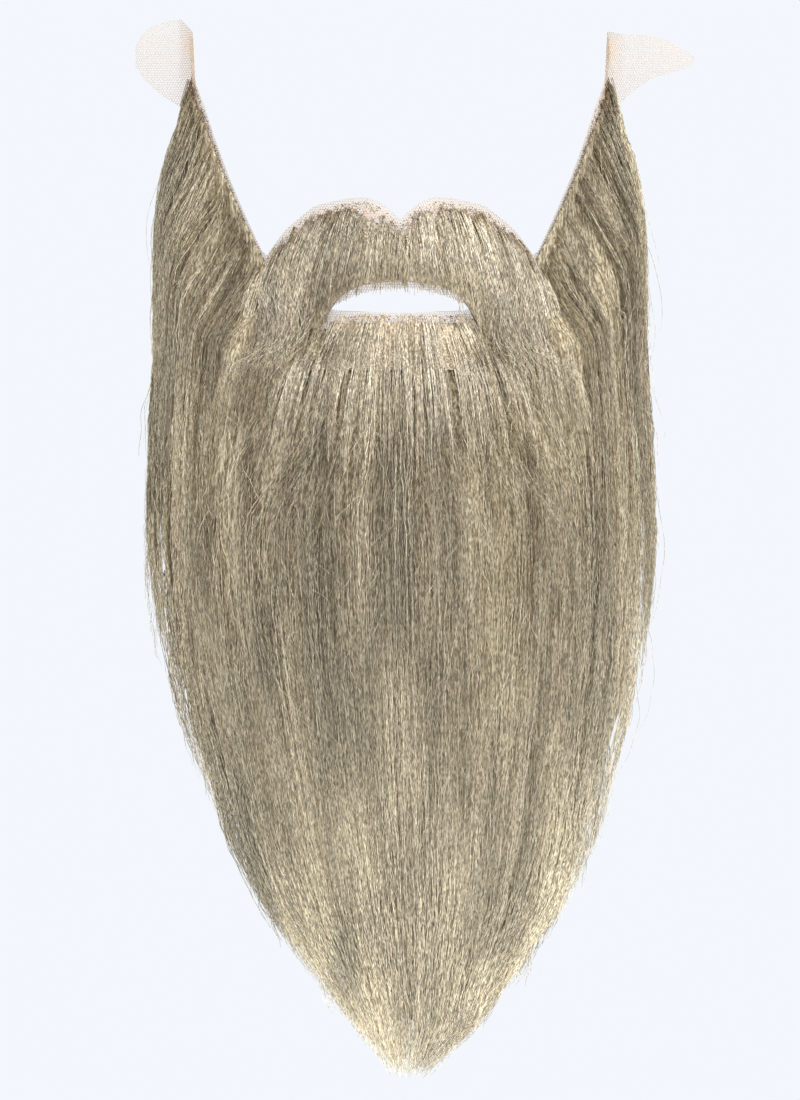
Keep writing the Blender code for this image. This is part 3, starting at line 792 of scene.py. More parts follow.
@dataclass(frozen=True)
class StrandStyle:
    """How strands grow round each guide, in millimetres."""

    copies: int
    stations: int
    clump_width: float
    clump_depth: float
    radius: float = 0.17
    taper: float = 0.6
    root_spread: float = 0.5
    tip_gather: float = 0.7
    crimp: float = 0.25
    crimp_length: float = 26.0
    frizz: float = 0.8
    frizz_scale: float = 45.0
    crossing: float = 0.6
    shortest: float = 0.8
    tone_scatter: float = 0.25


LENGTHS = ("clump_width", "clump_depth", "radius", "crimp", "crimp_length", "frizz")
WAVES = (4.6, 8.4)
THICKNESS = (0.75, 1.25)
TAPER_POWER = 1.6
APART = 40.0


class StrandSketch(Sketch):
    """The tree that grows strands round guides, in steps that share its inputs."""

    def __init__(self, tree: bpy.types.NodeTree) -> None:
        """Gives the tree its inputs and its output.

        Args:
            tree: The empty tree.
        """
        super().__init__(tree)
        self.socket("Guides", "Geometry")
        kinds = {"seed": "Int", "finish": "Material"}
        kinds |= {part.name: "Int" if part.type is int else "Float" for part in fields(StrandStyle)}
        self.names = {name: self.socket(name, kind).identifier for name, kind in kinds.items()}
        self.socket("Strands", "Geometry", out=True)
        self.given = self.add("NodeGroupInput").outputs
        self.index = self.add("GeometryNodeInputIndex").outputs["Index"]
        spline = self.add("GeometryNodeSplineParameter").outputs
        self.share, self.length = spline["Factor"], spline["Length"]

    def chance(self, low: object, high: object, salt: int) -> bpy.types.NodeSocket:
        """A random number for each strand, read where a strand is one element."""
        seed = self.math("ADD", self.given["seed"], float(salt))
        inputs = {"Min_001": low, "Max_001": high, "ID": self.index, "Seed": seed}
        return self.add("FunctionNodeRandomValue", inputs, data_type="FLOAT").outputs[1]

    def on_strand(self, low: float, high: float, salt: int) -> bpy.types.NodeSocket:
        """A random number for each strand, spread over its points."""
        value = {0: self.chance(low, high, salt)}
        return self.geometry("FieldOnDomain", value, domain="CURVE", data_type="FLOAT")

    def product(self, first: object, *more: object) -> bpy.types.NodeSocket:
        """Numbers multiplied one after another."""
        for value in more:
            first = self.math("MULTIPLY", first, value)
        return first

    def store(self, curves: object, name: str, value: object) -> bpy.types.NodeSocket:
        """Keeps a number on every point."""
        inputs = {"Geometry": curves, "Name": name, "Value": value}
        return self.geometry("StoreNamedAttribute", inputs, data_type="FLOAT", domain="POINT")

    def copies(self) -> bpy.types.NodeSocket:
        """The guides' copies, each cut to a length of its own, with even stations."""
        given = self.given
        curves = self.geometry("MeshToCurve", {"Mesh": given["Guides"]})
        inputs = {"Geometry": curves, "Amount": given["copies"]}
        curves = self.geometry("DuplicateElements", inputs, domain="SPLINE")
        cut = {"Curve": curves, "Start": 0.0, "End": self.chance(given["shortest"], 1.0, 1)}
        even = {"Curve": self.geometry("TrimCurve", cut, mode="FACTOR"), "Count": given["stations"]}
        return self.geometry("ResampleCurve", even, mode="COUNT")

    def wandering(self) -> bpy.types.NodeSocket:
        """How far each point strays from its guide: in its clump, in waves and at random."""
        given, share, product = self.given, self.share, self.product
        rise = self.ramp(share, 0.0, 0.3, given["root_spread"], 1.0)
        spread = product(rise, self.ramp(share, 0.35, 1.0, 1.0, given["tip_gather"]))
        wave = self.math("DIVIDE", self.length, given["crimp_length"])
        wave = product(wave, self.on_strand(*WAVES, 2))
        free = self.ramp(share, 0.0, 0.25, 0.0, 1.0)
        moves = []
        for name, size, salt in (("across", "clump_width", 3), ("out", "clump_depth", 4)):
            way = self.geometry("InputNamedAttribute", {"Name": name}, data_type="FLOAT_VECTOR")
            root, tip = (self.on_strand(-1.0, 1.0, salt + extra) for extra in (0, 10))
            lean = product(self.math("SUBTRACT", tip, root), product(share, given["crossing"]))
            shift = product(self.math("ADD", root, lean), given[size], spread)
            phase = self.math("ADD", wave, self.on_strand(0.0, 6.28, salt + 2))
            sway = product(self.math("SINE", phase), given["crimp"], free)
            moves.append([self.vector("SCALE", way, amount) for amount in (shift, sway)])
        apart = product(self.on_strand(0.0, 1.0, 7), APART)
        apart = self.add("ShaderNodeCombineXYZ", {0: apart, 1: apart}).outputs[0]
        place = self.vector("SCALE", self.geometry("InputPosition", {}), given["frizz_scale"])
        inputs = {"Vector": self.vector("ADD", place, apart), "Scale": 1.0, "Detail": 1.0}
        stray = self.add("ShaderNodeTexNoise", inputs).outputs["Color"]
        stray = self.vector("SUBTRACT", stray, (0.5, 0.5, 0.5))
        frizz = product(given["frizz"], product(free, 2.0))
        move = self.vector("ADD", *(self.vector("ADD", *pair) for pair in zip(*moves)))
        return self.vector("ADD", move, self.vector("SCALE", stray, frizz))

    def toned(self, curves: bpy.types.NodeSocket) -> bpy.types.NodeSocket:
        """The strands with each one's tone and the share along it."""
        tone = self.geometry("InputNamedAttribute", {"Name": "tone"}, data_type="FLOAT")
        wide = self.product(self.given["tone_scatter"], self.on_strand(-1.0, 1.0, 8))
        curves = self.store(curves, "tone", self.math("ADD", tone, wide, clamp=True))
        return self.store(curves, "along", self.share)

    def tubes(self, curves: bpy.types.NodeSocket) -> bpy.types.NodeSocket:
        """The strands as closed tubes that taper."""
        thin = self.product(self.given["taper"], self.math("POWER", self.share, TAPER_POWER))
        thick = self.product(self.given["radius"], self.math("SUBTRACT", 1.0, thin))
        thick = self.product(thick, self.on_strand(*THICKNESS, 9))
        ring = {"Resolution": STRAND_SIDES, "Radius": 1.0}
        ring = self.geometry("CurvePrimitiveCircle", ring, mode="RADIUS")
        tube = {"Curve": curves, "Profile Curve": ring, "Scale": thick, "Fill Caps": True}
        tube = self.geometry("SetShadeSmooth", {"Geometry": self.geometry("CurveToMesh", tube)})
        real = self.geometry("RealizeInstances", {"Geometry": tube})
        return self.geometry("SetMaterial", {"Geometry": real, "Material": self.given["finish"]})


def strand_tree() -> tuple[bpy.types.NodeTree, dict[str, str]]:
    """The geometry nodes that grow strands round guides.

    Returns:
        The tree, and the identifiers of its inputs by their names.
    """
    tree = bpy.data.node_groups.new("grow_strands", "GeometryNodeTree")
    draw = StrandSketch(tree)
    moved = {"Geometry": draw.copies(), "Offset": draw.wandering()}
    moved = draw.geometry("SetPosition", moved)
    draw.add("NodeGroupOutput", {0: draw.tubes(draw.toned(moved))})
    return tree, draw.names


def knot_tree() -> tuple[bpy.types.NodeTree, dict[str, str]]:
    """The geometry nodes that set a knot on every point.

    Returns:
        The tree, and the identifiers of its inputs by their names.
    """
    tree = bpy.data.node_groups.new("tie_knots", "GeometryNodeTree")
    draw = Sketch(tree)
    draw.socket("Points", "Geometry")
    names = {
        "Radius": draw.socket("Radius", "Float", value=0.0002).identifier,
        "Seed": draw.socket("Seed", "Int", value=0).identifier,
        "Finish": draw.socket("Finish", "Material").identifier,
    }
    draw.socket("Knots", "Geometry", out=True)
    given = draw.add("NodeGroupInput").outputs
    points = draw.geometry("MeshToPoints", {"Mesh": given["Points"]})
    bead = draw.geometry("MeshUVSphere", {"Radius": given["Radius"], "Segments": 4, "Rings": 2})
    sizes = {"Min_001": 0.7, "Max_001": 1.35, "Seed": given["Seed"]}
    sizes = draw.add("FunctionNodeRandomValue", sizes, data_type="FLOAT").outputs[1]
    placed = {"Points": points, "Instance": bead, "Scale": sizes}
    placed = draw.geometry("InstanceOnPoints", placed)
    real = draw.geometry("RealizeInstances", {"Geometry": placed})
    done = draw.geometry("SetMaterial", {"Geometry": real, "Material": given["Finish"]})
    draw.add("NodeGroupOutput", {0: done})
    return tree, names


def new_piece(name: str, points: np.ndarray, edges: list, faces: list) -> bpy.types.Object:
    """A mesh object from points in millimetres."""
    mesh = bpy.data.meshes.new(name)
    mesh.from_pydata((np.asarray(points) * MM).tolist(), edges, faces)
    made = bpy.data.objects.new(name, mesh)
    bpy.context.scene.collection.objects.link(made)
    return made


def settle(piece: bpy.types.Object) -> bpy.types.Object:
    """Turns what the piece's modifiers make into its own plain mesh."""
    depsgraph = bpy.context.evaluated_depsgraph_get()
    mesh = bpy.data.meshes.new_from_object(piece.evaluated_get(depsgraph))
    piece.modifiers.clear()
    piece.data = mesh
    mesh.name = piece.name
    return piece


@dataclass
class Workshop:
    """What every sub-assembly shares: the shapes, the node trees and the random numbers."""

    face: FaceForm = field(default_factory=FaceForm)
    hair: HairForm = field(default_factory=HairForm)
    rng: np.random.Generator = field(default_factory=lambda: np.random.default_rng(SEED))
    finishes: dict = field(default_factory=dict)
    middle_y: float = 57.0
    seed: int = 0
    seed_step: int = 31

    def __post_init__(self) -> None:
        """Builds the trees."""
        self.strands, self.strand_inputs = strand_tree()
        self.knots, self.knot_inputs = knot_tree()
        self.hair_tone = hair_tone_group()
        self.hex_net = hex_net_group()

    def material(self, finish: HairFinish, use: str) -> bpy.types.Material:
        """The material of a finish for its strands or its mass, made once."""
        key = (finish.name, use)
        if key not in self.finishes:
            self.finishes[key] = getattr(finish, use)(self.hair_tone)
        return self.finishes[key]

    def grow(
        self,
        name: str,
        guides: np.ndarray,
        tone: np.ndarray,
        style: StrandStyle,
        finish: HairFinish,
    ) -> bpy.types.Object:
        """Grows strands round guides.

        Args:
            name: The piece's name.
            guides: Points in millimetres, by guide and by station.
            tone: How pale each guide is, from 0 to 1.
            style: How the strands lie round a guide.
            finish: The hair's look.

        Returns:
            The strands as one mesh.
        """
        count, stations = guides.shape[:2]
        along = unit(np.gradient(guides, axis=1), TINY)
        out = guides - np.array((0.0, self.middle_y, 0.0))
        out[..., 2] = 0
        out = unit(out - along * (out * along).sum(axis=-1, keepdims=True), TINY)
        across = np.cross(along, out)
        ids = np.arange(count * stations).reshape(count, stations)
        edges = np.stack((ids[:, :-1].ravel(), ids[:, 1:].ravel()), axis=-1).tolist()
        piece = new_piece(name, guides.reshape(-1, 3), edges, [])
        tones = np.repeat(tone, stations)
        for key, values in (("across", across), ("out", out), ("tone", tones)):
            kind, what = ("FLOAT_VECTOR", "vector") if values.ndim > 1 else ("FLOAT", "value")
            made = piece.data.attributes.new(key, kind, "POINT")
            made.data.foreach_set(what, values.ravel())
        self.seed += self.seed_step
        grown = piece.modifiers.new("strands", "NODES")
        grown.node_group = self.strands
        values = {"seed": self.seed, "finish": self.material(finish, "strands")}
        for part in fields(style):
            value = getattr(style, part.name)
            values[part.name] = value * MM if part.name in LENGTHS else value
        for key, value in values.items():
            grown[self.strand_inputs[key]] = value
        settle(piece)
        self.unwrap_strands(piece.data, style.stations)
        return piece

    @staticmethod
    def unwrap_strands(mesh: bpy.types.Mesh, stations: int) -> None:
        """Gives every strand its own cell of the UV map.

        Args:
            mesh: The strands, whose points run strand by strand and ring by ring.
            stations: Rings in a strand.
        """
        corners = np.zeros(len(mesh.loops), int)
        mesh.loops.foreach_get("vertex_index", corners)
        sizes = np.zeros(len(mesh.polygons), int)
        mesh.polygons.foreach_get("loop_total", sizes)
        face = np.repeat(np.arange(len(sizes)), sizes)
        strand, within = np.divmod(corners, STRAND_SIDES * stations)
        ring, side = np.divmod(within, STRAND_SIDES)
        touches = np.zeros((STRAND_SIDES, len(sizes)), bool)
        np.logical_or.at(touches, (side, face), True)
        wraps = touches[2] & ~touches[1]
        turn = np.where(wraps[face] & (side == 0), STRAND_SIDES, side)
        cap = (sizes == STRAND_SIDES)[face]
        across = np.where(cap, np.array((0.0, 3.0, 1.5))[side], turn) / STRAND_SIDES
        length = 0.1 + 0.8 * ring / (stations - 1)
        near_end = np.array((0.01, 0.01, 0.08))[side]
        length = np.where(cap, np.where(ring == 0, near_end, 1 - near_end), length)
        count = len(mesh.vertices) // (STRAND_SIDES * stations)
        columns = math.ceil(math.sqrt(count))
        rows = math.ceil(count / columns)
        row, column = np.divmod(strand, columns)
        u = (column + 0.06 + 0.88 * across) / columns
        v = (row + length) / rows
        layer = mesh.uv_layers.new(name="OFBake")
        layer.data.foreach_set("uv", np.stack((u, v), axis=-1).ravel())


def dress(piece: bpy.types.Object, node: str, slot: Slot) -> None:
    """Puts a finished piece in the place of a CAD node.

    Args:
        piece: The piece.
        node: The CAD node that it stands for.
        slot: Not used.
    """
    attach(piece, BODY)
    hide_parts(node)
    triangles = sum(len(face.vertices) - 2 for face in piece.data.polygons)
    LOG.info("%s stands for %s: %d triangles", piece.name, node, triangles)


def emerge(roots: np.ndarray, layer: np.ndarray, run: np.ndarray) -> np.ndarray:
    """Bends lines so that they start at their roots and settle into their layer.

    Args:
        roots: The roots, one a line.
        layer: The lines as they would lie in their layer.
        run: The length in which each line settles.

    Returns:
        The bent lines.
    """
    share = smooth(run_length(layer) / np.asarray(run).reshape(-1, 1))
    return mix(roots[:, None, :], layer, share)


OVERLAY = StrandStyle(
    1, 5, 1.0, 0.5, radius=0.08, taper=0.4, root_spread=1.0, tip_gather=1.0, crimp=0.4,
    crimp_length=10.0, frizz=2.2, frizz_scale=80.0, crossing=1.0, shortest=0.5,
)


UNDER_TONE = (0.36, 0.15)
INNER_TONE = (0.38, 0.15)
WISP_TONE = (0.7, 0.12)
LOOSE_TONE = (0.75, 0.15)


@dataclass(frozen=True)
class Overlay:
    """Where short hairs lie slantwise over the others, and how."""

    count: int
    angles: tuple
    heights: tuple
    below_hairline: float = 16.0
    lean: float = 0.32
    length: tuple = (10, 30)
    bow: float = 1.4
    degrees_per_mm: float = 0.66
    widest: float = 97.0
    lift: float = 0.9
    end_drop: float = 1.6


@dataclass(frozen=True)
class MassShape:
    """How a mass lies on the lace, and how it draws in towards its ends."""

    contact: float = 2.2
    patch_contact: float = 1.5
    thinning: float = 0.32
    thinning_height: float = 42.0
    outer_thinning: float = 0.3
    inner_thinning: float = 1.6
    inner_sunk: float = 1.2
    top_ease: float = 14.0
    hang_ease: float = 40.0
    patch_ease: float = 9.0
    patch_sunk: float = 1.4


@dataclass
class HairPart:
    """A part of the hair: a dense mass under strands, in place of one CAD node."""

    shop: Workshop
    node: str
    slot: Slot
    finish: HairFinish
    stations: int = 14
    shape: MassShape = MassShape()

    def shares(self, first: np.ndarray) -> np.ndarray:
        """Even shares of a line from a first share on, by line and by station."""
        return first[:, None] + (1 - first[:, None]) * np.linspace(0, 1, self.stations)[None, :]

    def mass(self, name: str, profiles: list[np.ndarray]) -> bpy.types.Object:
        """The dense hair under the strands, lofted through closed profiles.

        Args:
            name: The piece's name.
            profiles: Rings of points, one after another across the hair.

        Returns:
            The piece.
        """
        size = len(profiles[0])
        faces = []
        for ring in range(len(profiles) - 1):
            for k in range(size):
                after = (k + 1) % size
                low, high = ring * size, (ring + 1) * size
                faces.append((low + k, low + after, high + after, high + k))
        points = [point for profile in profiles for point in profile]
        last = (len(profiles) - 1) * size
        for base in (0, last):
            points.append(np.mean(points[base : base + size], axis=0))
            hub = len(points) - 1
            for k in range(size):
                ends = (base + k, base + (k + 1) % size)
                faces.append((hub, *ends[::-1]) if base == 0 else (hub, *ends))
        piece = new_piece(name, np.array(points), [], faces)
        face_outwards(piece.data)
        piece.data.shade_smooth()
        piece.data.materials.append(self.shop.material(self.finish, "mass"))
        dress(piece, self.node, self.slot)
        return piece

    def comb(
        self, name: str, guides: np.ndarray, tone: np.ndarray | tuple, style: StrandStyle
    ) -> None:
        """Grows strands and puts them in the node's place.

        Args:
            name: The piece's name.
            guides: The guides' points.
            tone: How pale each guide is, or the mean and the scatter to draw it from.
            style: How the strands lie round a guide.
        """
        if isinstance(tone, tuple):
            tone = self.shop.rng.normal(*tone, len(guides))
        piece = self.shop.grow(name, guides, tone, style, self.finish)
        dress(piece, self.node, self.slot)

    def lay_over(self, surface: object, lay: Overlay, sign: int = 1) -> None:
        """Adds short hairs that lie slantwise over the others.

        Args:
            surface: The method for the surface that they lie on, on the right-hand side.
            lay: Where they lie.
            sign: -1 to mirror them to the left.
        """
        rng = self.shop.rng
        angle, z = rng.uniform(*lay.angles, lay.count), rng.uniform(*lay.heights, lay.count)
        z = np.minimum(z, self.shop.face.hairline.read("z", np.abs(angle)) - lay.below_hairline)
        lean, length = rng.normal(0, lay.lean, lay.count), rng.uniform(*lay.length, lay.count)
        share = np.linspace(-0.5, 0.5, self.stations)[None, :]
        bow = rng.normal(0, lay.bow, lay.count)[:, None] * np.cos(np.pi * share)
        aside = (np.sin(lean) * length)[:, None] * share + bow
        along = z[:, None] - (np.cos(lean) * length)[:, None] * share
        sunk = lay.end_drop * np.abs(share) - lay.lift
        turn = np.clip(angle[:, None] + aside * lay.degrees_per_mm, -lay.widest, lay.widest)
        guides = surface(turn, along, sunk) * np.array((sign, 1, 1))
        self.comb(f"{self.node}_overlay", guides, LOOSE_TONE, OVERLAY)

    def hanging_profile(
        self, angle_at: object, top: float, bottom: float, outside: object, sunk: float
    ) -> np.ndarray:
        """A ring of a mass that lies on the lace and hangs below its lower edge.

        Args:
            angle_at: Gives the ring's angle at a height.
            top: The height of its upper end.
            bottom: The height of its lower end.
            outside: The method for the outside of the hair.
            sunk: How far the mass lies under it.

        Returns:
            The ring's points.
        """
        face, hair, shape = self.shop.face, self.shop.hair, self.shape
        turn = angle_at(top)
        way, steps = face.route(turn)
        start = float(np.interp(-top, -way[:, 1], steps))
        contact = face.on_lace(turn, np.linspace(start, steps[-1], 9), shape.contact)
        edge = contact[-1]

        def thin(z: float) -> float:
            """How far each side of the mass draws in towards its lower end."""
            wall = float(hair.section.read("side_wall", z))
            return shape.thinning * wall * (1 - float(smooth((z - bottom) / shape.thinning_height)))

        outer = []
        for z in np.linspace(top, bottom, 26):
            below = 1.0 - float(smooth((top - z) / shape.top_ease))
            outer.append(outside(angle_at(z), z, sunk + below + shape.outer_thinning * thin(z)))
        inner = []
        for z in np.linspace(edge[2], bottom, 16)[1:]:
            hang = hair.inside(angle_at(z), z, shape.inner_sunk + shape.inner_thinning * thin(z))
            share = float(smooth((edge[2] - z) / shape.hang_ease))
            inner.append(mix(np.array((edge[0], edge[1], z)), hang, share))
        return np.array(outer + inner[::-1] + list(contact[::-1]))

    def patch_profile(
        self, angle: float, top: float, bottom: float, outside: object, sunk: float
    ) -> np.ndarray:
        """A ring of a mass that lies wholly on the lace, with hanging_profile's arguments."""
        face, shape = self.shop.face, self.shape
        way, steps = face.route(angle)
        span = np.interp([-top, -bottom], -way[:, 1], steps)
        contact = face.on_lace(angle, np.linspace(*span, 8), shape.patch_contact)
        outer = []
        for z in np.linspace(top, bottom, 10):
            ease = 1 - float(smooth((top - z) / shape.patch_ease))
            outer.append(outside(angle, z, sunk + shape.patch_sunk * ease))
        return np.array(outer + list(contact[::-1]))


def face_outwards(mesh: bpy.types.Mesh) -> None:
    """Turns a closed mesh's faces so that its volume is positive."""
    mesh.calc_loop_triangles()
    points = np.zeros(len(mesh.vertices) * 3)
    mesh.vertices.foreach_get("co", points)
    points = points.reshape(-1, 3)
    corners = np.zeros(len(mesh.loop_triangles) * 3, int)
    mesh.loop_triangles.foreach_get("vertices", corners)
    a, b, c = points[corners.reshape(-1, 3)].transpose(1, 0, 2)
    if float((a * np.cross(b, c)).sum()) < 0:
        mesh.flip_normals()


@dataclass
class Moustache(HairPart):
    """One half of the moustache, combed down and out from its parting."""

    side: Side = Side.LEFT
    guides: int = 190
    strays: int = 34
    overlaid: Overlay = Overlay(200, (27, 42), (-44, -16))
    widest: float = 45.0
    corner: tuple = (13, 23)
    corner_share: float = 0.14
    settling: tuple = (3, 6)
    tone: tuple = (0.5, 0.14)
    stray_tone: tuple = (0.1, 0.1)
    flow: Table = Table(
        "root middle_x middle_z tip_x tip_z",
        (
            (0, 0.3, -2, 0.6, -14.4), (5, 7.6, 0, 9.2, -14.8), (10, 15.5, 2, 18.6, -16.8),
            (14, 21.5, 1, 26.6, -21.5), (17, 27.5, -2, 33.5, -30), (19, 31.5, -4, 38.0, -38),
            (25, 40, -8, 47, -52), (30, 46.5, -12, 53, -60), (35, 53, -15, 60, -63),
            (40, 57.5, -18, 66, -66), (45, 60, -22, 70, -70),
        ),
    )
    low: Table = Table(
        "angle z", ((0, -11), (10, -12), (17, -15), (21, -20), (25, -27), (35, -30), (44, -30))
    )
    style: StrandStyle = StrandStyle(
        6, 12, 1.3, 0.6, radius=0.14, taper=0.5, root_spread=0.8, tip_gather=0.8, crimp=0.16,
        crimp_length=9.0, frizz=0.7, frizz_scale=120.0, shortest=0.78,
    )
    stray_style: StrandStyle = StrandStyle(
        3, 6, 1.6, 0.3, radius=0.08, taper=0.6, root_spread=1.0, tip_gather=1.4, crimp=0.1,
        crimp_length=6.0, frizz=0.6, frizz_scale=200.0, shortest=0.5,
    )

    def build(self) -> None:
        """Builds the mass and its strands."""
        hair, sign = self.shop.hair, self.side.value
        profiles = []
        for angle in np.linspace(0.5, 42, 13):
            top = float(self.shop.face.hairline.read("z", angle)) - 4
            bottom = float(self.low.read("z", angle)) + 0.5
            profiles.append(self.patch_profile(sign * angle, top, bottom, hair.moustache, 2.4))
        self.mass(f"{self.node}_mass", profiles)
        self.comb(f"{self.node}_hair", self.lines(), self.tone, self.style)
        self.comb(f"{self.node}_strays", self.stray_lines(), self.stray_tone, self.stray_style)
        self.lay_over(hair.moustache, self.overlaid, sign)

    def lines(self) -> np.ndarray:
        """The guides of this half, which run along Bezier curves as seen from the front."""
        rng, face, hair, sign = self.shop.rng, self.shop.face, self.shop.hair, self.side.value
        count = self.guides
        begin = np.clip(rng.uniform(-0.7, self.widest, count), 0, self.widest)
        corner = rng.random(count) < self.corner_share
        begin = np.where(corner, rng.uniform(*self.corner, count), begin)
        line = face.hairline.read("z", begin) - 0.4 + 2.4 * rng.random(count) ** 4
        loose = smooth((begin - 8) / 10)
        ends = {
            "x": hair.moustache(begin, line)[:, 0],
            "middle_x": self.flow.read("middle_x", begin),
            "tip_x": self.flow.read("tip_x", begin) + rng.normal(0, 1.0, count) * (0.3 + loose),
            "z": line,
            "middle_z": self.flow.read("middle_z", begin),
            "tip_z": self.flow.read("tip_z", begin) + rng.normal(0, 4.0, count) * (0.15 + loose),
        }
        first = rng.random(count) ** 1.6 * mix(0.75, 0.5, loose)
        share = self.shares(first)
        x, z = (
            (1 - share) ** 2 * ends[key][:, None]
            + 2 * share * (1 - share) * ends[f"middle_{key}"][:, None]
            + share**2 * ends[f"tip_{key}"][:, None]
            for key in ("x", "z")
        )
        angle = hair.turned(hair.moustache, x, z)
        sunk = (rng.random(count) ** 1.5 * 2.2 - 0.3 + first)[:, None]
        layer = hair.moustache(sign * angle, z, sunk)
        roots = face.roots(sign * angle[:, 0], z[:, 0])
        return emerge(roots, layer, rng.uniform(*self.settling, count))

    def stray_lines(self) -> np.ndarray:
        """Short hairs that stand up from the hairline."""
        rng, face, sign = self.shop.rng, self.shop.face, self.side.value
        count = self.strays
        root = rng.uniform(0.5, 43, count)
        z = face.hairline.read("z", root) - rng.uniform(0, 1.5, count)
        roots = face.roots(sign * root, z)
        reach = rng.uniform(2.0, 4.5, count)[:, None]
        aside = rng.normal(0, 0.5, count)
        way = (aside, rng.uniform(-1.1, -0.4, count), rng.uniform(0.2, 1.0, count))
        tips = roots + np.stack(way, -1) * reach
        share = np.linspace(0, 1, self.stations)[None, :, None]
        bow = np.array((0.0, -0.8, 0.3)) * np.sin(np.pi * share)
        return roots[:, None] + (tips - roots)[:, None] * share + bow


@dataclass
class LipPatch(HairPart):
    """The short hair along the lower lip, which fans out over the chin."""

    guides: int = 130
    half_width: float = 31.0
    top: float = -22.0
    length: tuple = (36, 60)
    spreading: float = 1.6
    settling: tuple = (3, 6)
    tone: tuple = (0.62, 0.14)
    dark_x: float = 37.0
    style: StrandStyle = StrandStyle(
        6, 11, 1.4, 0.5, radius=0.13, taper=0.5, root_spread=0.9, tip_gather=0.9, crimp=0.16,
        crimp_length=9.0, frizz=0.7, frizz_scale=120.0, shortest=0.7,
    )

    def build(self) -> None:
        """Builds the mass and its strands."""
        rng, face, hair = self.shop.rng, self.shop.face, self.shop.hair
        angles = np.linspace(-22, 22, 11)
        profiles = [self.patch_profile(angle, -25, -42, hair.lip, 2.2) for angle in angles]
        self.mass("lip_patch_mass", profiles)
        count = self.guides
        begin = rng.uniform(-self.half_width, self.half_width, count)
        share = self.shares(rng.random(count) ** 1.5 * 0.4)
        wide = begin * self.spreading + rng.normal(0, 1.5, count)
        x = begin[:, None] + (wide - begin)[:, None] * (1 - (1 - share) ** 1.8)
        z = self.top - rng.uniform(*self.length, count)[:, None] * share
        angle = hair.turned(hair.lip, x, z)
        layer = hair.lip(angle, z, rng.uniform(-0.3, 1.6, count)[:, None])
        roots = face.roots(angle[:, 0], z[:, 0])
        guides = emerge(roots, layer, rng.uniform(*self.settling, count))
        tone = rng.normal(*self.tone, count)
        tone -= 0.3 * np.exp(-(((guides[:, 8, 0] - self.dark_x) / 14) ** 2))
        self.comb("lip_patch_hair", guides, tone, self.style)


